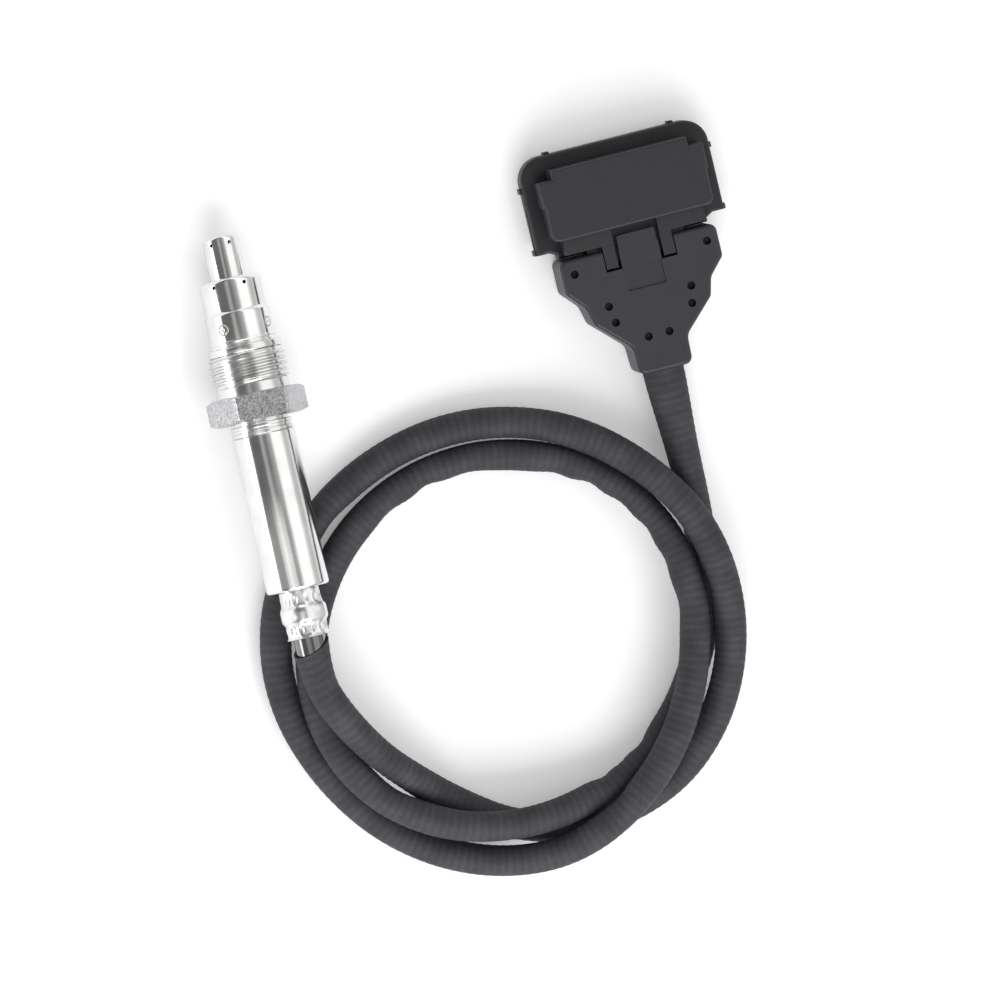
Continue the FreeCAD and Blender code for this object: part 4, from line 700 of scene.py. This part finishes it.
# Outer sleeve: a thin drawn tube over the contacts, welded in front and rolled in at the
# rear to a rounded rim that leaves a dark gap round the ferrule.
SLEEVE_RADIUS, SLEEVE_BORE, SLEEVE_END = 8.0, 7.4, 90.3
ROLLED_IN, ROLLED_THICKNESS = 6.7, 0.6
sleeve = turned("outer_sleeve_drawn", [
    (RING_REAR, SLEEVE_BORE), (RING_REAR, SLEEVE_RADIUS), (SLEEVE_END, SLEEVE_RADIUS),
    (SLEEVE_END, ROLLED_IN), (SLEEVE_END - ROLLED_THICKNESS, ROLLED_IN),
    (SLEEVE_END - ROLLED_THICKNESS, SLEEVE_BORE)], closed=True)
round_rims(sleeve, [(RING_REAR, SLEEVE_RADIUS)], 0.25, 3)
round_rims(sleeve, [(SLEEVE_END, SLEEVE_RADIUS)], 0.9, 6)
set_on_probe(sleeve, drawn_steel)
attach(sleeve, "root")
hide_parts("outer_sleeve")

# Ferrule: a soft steel cap pressed on the rubber grommet by two rows of crimp jaws, which
# leave slot-like marks, with a barrel between the rows and a small flare at the end.
CRIMP_MARKS = 12
CRIMP_ROWS = (92.7, 100.3)
# Half the width and the length of a mark, its depth, and the height of the metal round it.
CRIMP_HALF_WIDTH, CRIMP_HALF_LENGTH = 0.62, 1.15
CRIMP_DEPTH, CRIMP_BURR = 0.24, 0.08
FERRULE_FRONT, FERRULE_END = 83.3, 102.5
FERRULE_BORE, FERRULE_RADIUS = 4.6, 5.1
SHOULDER_RADIUS, SHOULDER_END, SLOPE_END = 7.3, 86.8, 87.7
BARREL_START, BARREL_END = 94.45, 98.55
BARREL_STEEPNESS, BARREL_HEIGHT = 3.2, 0.95
FLARE_START = 101.5
OUTLINE_START, OUTLINE_STEP = 88.0, 0.2
outline = [(FERRULE_FRONT, SHOULDER_RADIUS), (SHOULDER_END, SHOULDER_RADIUS),
           (SLOPE_END, FERRULE_RADIUS)]
station = OUTLINE_START
while station < FERRULE_END + OUTLINE_STEP / 4:
    rise = 1 / (1 + math.exp(-(station - BARREL_START) * BARREL_STEEPNESS))
    fall = 1 / (1 + math.exp((station - BARREL_END) * BARREL_STEEPNESS))
    flare = max(0.0, station - FLARE_START) ** 1.5 * 0.6
    outline.append((station, FERRULE_RADIUS + BARREL_HEIGHT * rise * fall + flare))
    station += OUTLINE_STEP
outline += [(FERRULE_END, FERRULE_RADIUS + 0.1), (FERRULE_END, FERRULE_BORE),
            (FERRULE_FRONT, FERRULE_BORE)]
ferrule = turned("crimp_ferrule_pressed", outline, closed=True, sides=168)
for vertex in ferrule.data.vertices:
    station, radius = vertex.co.z / MM, math.hypot(vertex.co.x, vertex.co.y) / MM
    if radius < FERRULE_BORE + 0.3 or station < SLEEVE_END - 0.3:
        continue
    turn = math.atan2(vertex.co.x, vertex.co.y)
    pressed = 0.0
    for row in CRIMP_ROWS:
        across = (turn * CRIMP_MARKS / (2 * math.pi) + 0.25) % 1 - 0.5
        across *= 2 * math.pi / CRIMP_MARKS * FERRULE_RADIUS
        oval = math.hypot(across / CRIMP_HALF_WIDTH, (station - row) / CRIMP_HALF_LENGTH)
        pressed += CRIMP_DEPTH * max(0.0, 1 - oval ** 2)
        pressed -= CRIMP_BURR * math.exp(-((oval - 1.25) / 0.4) ** 2)
    lumps = math.exp(-((station - 96.5) / 1.9) ** 2) * math.cos(turn * 6 + 0.5) * 0.16
    dents = noise.noise(Vector((turn * 2, station * 0.7, 4))) * 0.1
    scale = (radius - pressed + lumps + dents) / radius
    vertex.co.x *= scale
    vertex.co.y *= scale
pressed_steel = new_steel("pressed_steel", (0.86, 0.855, 0.85), 0.26)
set_on_probe(ferrule, pressed_steel, 70)
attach(ferrule, "root")
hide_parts("crimp_ferrule")

# Boot: the smooth black tube that seals the leads in the ferrule and runs on into the
# cable's sleeve, whose slanting mouth leaves it in view from above.
BOOT_RADIUS = 4.0
BOOT_FRONT, BOOT_SHOULDER, BOOT_END = 99.5, 106.4, 109.0
boot = turned("cable_boot_smooth", [
    (BOOT_FRONT, BOOT_RADIUS - 0.8), (BOOT_FRONT, BOOT_RADIUS), (BOOT_SHOULDER, BOOT_RADIUS),
    (BOOT_END, BOOT_RADIUS - 0.4), (BOOT_END, BOOT_RADIUS - 1)])
round_rims(boot, [(BOOT_SHOULDER, BOOT_RADIUS)], 0.5, 3)
gloss_black, tree, shader = new_material("gloss_black")
place = add_node(tree, "TexCoord").outputs["Object"]
film = speckle(tree, place, 260, 3)
tint = blend_colours(tree, film, [(0.35, (0.006, 0.006, 0.008)), (0.7, (0.016, 0.016, 0.020))])
tree.links.new(tint, shader.inputs["Base Color"])
shader.inputs["Roughness"].default_value = 0.07
shader.inputs["IOR"].default_value = 2.2
shader.inputs["Coat Weight"].default_value = 1.0
shader.inputs["Coat IOR"].default_value = 1.6
shader.inputs["Coat Roughness"].default_value = 0.04
raise_surface(tree, shader, film, 0.05 * MM, 0.3)
set_on_probe(boot, gloss_black)
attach(boot, "root")
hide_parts("cable_boot")

# Plug: glass-filled plastic mouldings with a fine spark-eroded grain. Each keeps its solid's
# shape, with its sharp edges rounded a little, as a mould leaves them.


def new_plastic(name, low, high, roughness, grain):
    """Moulded plastic: faint flow clouds and a fine eroded grain."""
    made, tree, shader = new_material(name)
    place = add_node(tree, "TexCoord").outputs["Object"]
    clouds = speckle(tree, place, 90, 4, 0.6)
    pits = speckle(tree, place, 3800, 2)
    tint = blend_colours(tree, clouds, [(0.3, low), (0.7, high)])
    tree.links.new(tint, shader.inputs["Base Color"])
    shader.inputs["Specular IOR Level"].default_value = 0.4
    sheen = add_node(tree, "MapRange", [("Value", clouds), ("From Min", 0.3), ("From Max", 0.7),
                                        ("To Min", roughness * 1.1), ("To Max", roughness * 0.9)])
    tree.links.new(sheen.outputs["Result"], shader.inputs["Roughness"])
    raise_surface(tree, shader, pits, 0.025 * MM, grain)
    return made


# In a cover the ends of the pegs and the walls round them get painted shade: heights in mm,
# and the largest face of such a wall in square mm.
PEG_END_LOWEST, PEG_END_HIGHEST = 11.2, 12.0
PEG_WALL_LOWEST, PEG_WALL_LARGEST = 10.8, 1.2


def moulded(node, material, edge, segments=2):
    """A copy of a CAD solid, its triangles merged into faces and its sharp edges rounded."""
    bpy.ops.object.select_all(action="DESELECT")
    piece = bpy.data.objects.new(node + "_moulded", frame["nodes"][node].data.copy())
    bpy.context.collection.objects.link(piece)
    start_edit(piece)
    bpy.ops.mesh.select_all(action="SELECT")
    bpy.ops.mesh.remove_doubles(threshold=MERGE)
    bpy.ops.mesh.dissolve_limited(angle_limit=math.radians(1))
    bpy.ops.object.mode_set(mode="OBJECT")
    rounding = piece.modifiers.new("rounding", "BEVEL")
    rounding.width = edge * MM
    rounding.segments = segments
    rounding.limit_method = "ANGLE"
    rounding.angle_limit = math.radians(40)
    bpy.ops.object.modifier_apply(modifier=rounding.name)
    bpy.ops.object.shade_smooth_by_angle(angle=math.radians(35))
    weighing = piece.modifiers.new("weighing", "WEIGHTED_NORMAL")
    weighing.keep_sharp = True
    bpy.ops.object.modifier_apply(modifier=weighing.name)
    piece.data.materials.clear()
    piece.data.materials.append(material)
    piece.data.materials.append(peg_shade)
    # Painted shade on the peg ends and hole walls of the covers.
    for face in piece.data.polygons:
        height = face.center.z / MM
        peg_end = face.normal.z > 0.9 and PEG_END_LOWEST < height < PEG_END_HIGHEST
        hole_wall = (abs(face.normal.z) < 0.3 and height > PEG_WALL_LOWEST
                     and face.area < PEG_WALL_LARGEST * MM ** 2)
        if node.startswith("cover") and (peg_end or hole_wall):
            face.material_index = 1
    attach(piece, "root")
    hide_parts(node)
    return piece


cover_plastic = new_plastic(
    "cover_plastic", (0.027, 0.027, 0.032), (0.034, 0.034, 0.041), 0.43, 0.6)
block_plastic = new_plastic(
    "block_plastic", (0.022, 0.022, 0.026), (0.026, 0.026, 0.031), 0.45, 0.6)
# The flange's plastic is darker than the block's: partly its own darker plastic, partly painted
# shade from the block standing above it.
flange_plastic = new_plastic(
    "flange_plastic", (0.014, 0.014, 0.0165), (0.018, 0.018, 0.0215), 0.45, 0.6)
peg_shade = new_plastic(
    "peg_shade", (0.004, 0.004, 0.004), (0.006, 0.006, 0.006), 0.8, 0.5)
for node, material, edge, slot_name in (
        ("cover_top", cover_plastic, 0.12, "cover_plastic"),
        ("cover_bottom", cover_plastic, 0.12, "cover_plastic"),
        ("plug_block", block_plastic, 0.18, "block_plastic"),
        ("plug_flange", flange_plastic, 0.15, "flange_plastic")):
    piece = moulded(node, material, edge)

# Parts inside the probe and the plug: sintered ceramic, pressed talc, spring brass, coloured
# wire and rubber. They keep their solids and get their finish.


def give_finish(material, *nodes):
    """One finish for some CAD nodes."""
    for node in nodes:
        mesh = frame["nodes"][node].data
        if mesh.materials:
            mesh.materials[0] = material
        else:
            mesh.materials.append(material)


def new_inner(name, low, high, roughness, grain, size, metallic=0.0):
    """A finish of two tones in grains of one size, per metre."""
    made, tree, shader = new_material(name)
    place = add_node(tree, "TexCoord").outputs["Object"]
    grains = speckle(tree, place, size, 4)
    tint = blend_colours(tree, grains, [(0.3, low), (0.7, high)])
    tree.links.new(tint, shader.inputs["Base Color"])
    shader.inputs["Roughness"].default_value = roughness
    shader.inputs["Metallic"].default_value = metallic
    raise_surface(tree, shader, grains, grain * MM, 0.6)
    return made


give_finish(new_inner("sintered_ceramic", (0.80, 0.79, 0.75), (0.88, 0.87, 0.83),
                      0.6, 0.02, 2400),
            "front_insulator", "rear_insulator", "sensing_element", "contact_holder")
give_finish(new_inner("pressed_talc", (0.58, 0.57, 0.54), (0.70, 0.69, 0.66), 0.9, 0.05, 1800),
            "talc_packing")
give_finish(new_inner("contact_brass", (0.62, 0.45, 0.20), (0.74, 0.56, 0.27), 0.3, 0.01, 900, 1.0),
            "contacts", "plug_pins")
give_finish(new_inner("wire_insulation", (0.07, 0.014, 0.010), (0.10, 0.02, 0.014), 0.5, 0.02, 700),
            "lead_wires", "plug_leads")
give_finish(new_inner("grommet_rubber", (0.035, 0.035, 0.037), (0.055, 0.055, 0.057),
                      0.7, 0.03, 1500),
            "grommet")
give_finish(new_inner("seal_rubber", (0.09, 0.025, 0.018), (0.12, 0.035, 0.025), 0.6, 0.03, 1500),
            "flange_seal")
give_finish(lathe_steel, "clamp_ring", "spring_clip", "cable_clip")

# Table: a plain pale surface that takes the soft shadows. To the camera and in polished
# metal it looks paler than the light on it makes it.
TABLE_LIFT = 0.23
TABLE_GLOSSY_LIFT = 0.15
bpy.ops.object.select_all(action="DESELECT")
bpy.ops.mesh.primitive_plane_add(size=6, location=(0, 0, 0))
table = bpy.context.object
table.name = "table"
table_white, tree, shader = new_material("table_white")
shader.inputs["Base Color"].default_value = (0.86, 0.86, 0.87, 1)
shader.inputs["Roughness"].default_value = 1.0
shader.inputs["Specular IOR Level"].default_value = 0.0
rays = add_node(tree, "LightPath").outputs
glossy = add_node(tree, "Math", [(0, rays["Is Glossy Ray"]), (1, TABLE_GLOSSY_LIFT)],
                  operation="MULTIPLY")
lift = add_node(tree, "Math", [(0, rays["Is Camera Ray"]), (1, TABLE_LIFT),
                               (2, glossy.outputs["Value"])], operation="MULTIPLY_ADD")
shine = add_node(tree, "Emission", [("Strength", lift.outputs["Value"])])
both = add_node(tree, "AddShader", [(0, shader.outputs["BSDF"]), (1, shine.outputs["Emission"])])
tree.links.new(both.outputs["Shader"], tree.nodes["Material Output"].inputs["Surface"])
table.data.materials.append(table_white)

# Light: a white tent with dark strip openings along the probe, which give polished metal its
# stripes, three grey cards over the rear half and soft lamps at the near edge and the left.
TENT_STRENGTH = 1.1
TENT_EDGE = 100
# Tone of the tent by its lean in degrees from straight up towards +X.
TENT_TONES = [
    (-98, 1.05), (-71, 1.05), (-65, 0.14), (-30, 0.14), (-24, 0.42), (-17, 0.42), (-12, 0.17),
    (-3, 0.2), (3, 0.34), (13, 0.4), (21, 1.1), (57, 1.1), (63, 0.65), (75, 0.5), (82, 0.55),
    (88, 0.8), (97, 1.0)]
world = bpy.data.worlds.new("light_tent")
bpy.context.scene.world = world
world.use_nodes = True
tree = world.node_tree
direction = add_node(tree, "TexCoord").outputs["Generated"]
parts = add_node(tree, "SeparateXYZ", [("Vector", direction)])
lean = add_node(tree, "Math", [(0, parts.outputs["X"]), (1, parts.outputs["Z"])],
                operation="ARCTAN2")
share = add_node(tree, "MapRange", [("Value", lean.outputs["Value"]),
                                    ("From Min", math.radians(-TENT_EDGE)),
                                    ("From Max", math.radians(TENT_EDGE))])
tent = blend_colours(tree, share.outputs["Result"], [
    ((degrees + TENT_EDGE) / (2 * TENT_EDGE), (tone, tone, tone)) for degrees, tone in TENT_TONES])
seen_background = add_node(tree, "LightPath").outputs["Is Camera Ray"]
backdrop = add_node(tree, "MixRGB", [("Fac", seen_background), ("Color1", tent),
                                     ("Color2", (1, 1, 1, 1))])
background = tree.nodes["Background"]
tree.links.new(backdrop.outputs["Color"], background.inputs["Color"])
background.inputs["Strength"].default_value = TENT_STRENGTH

# Lamps: name, place, place that each faces, width, depth and power in watts.
for name, place, aim, width, depth, power in (
        ("near_softbox", (-0.05, -0.75, 0.68), (0.05, -0.02, 0), 0.9, 0.65, 8),
        ("left_softbox", (-0.75, 0, 0.16), (0, 0, 0.02), 0.5, 0.22, 1.3),
        ("wide_card", (-0.53, -0.06, 0.5), (-0.53, -0.06, 0), 1.05, 0.3, 0.2),
        ("front_card", (-0.18, -0.055, 0.5), (-0.18, -0.055, 0), 0.36, 0.3, 0.05),
        ("rear_card", (-0.18, -0.085, 0.49), (-0.18, -0.085, 0), 0.34, 0.3, 0.14)):
    bpy.ops.object.select_all(action="DESELECT")
    bpy.ops.object.light_add(type="AREA", location=place)
    lamp = bpy.context.object
    lamp.name = name
    lamp.rotation_euler = (Vector(aim) - lamp.location).to_track_quat("-Z", "Y").to_euler()
    lamp.data.shape = "RECTANGLE"
    lamp.data.size = width
    lamp.data.size_y = depth
    lamp.data.energy = power
    lamp.visible_camera = False
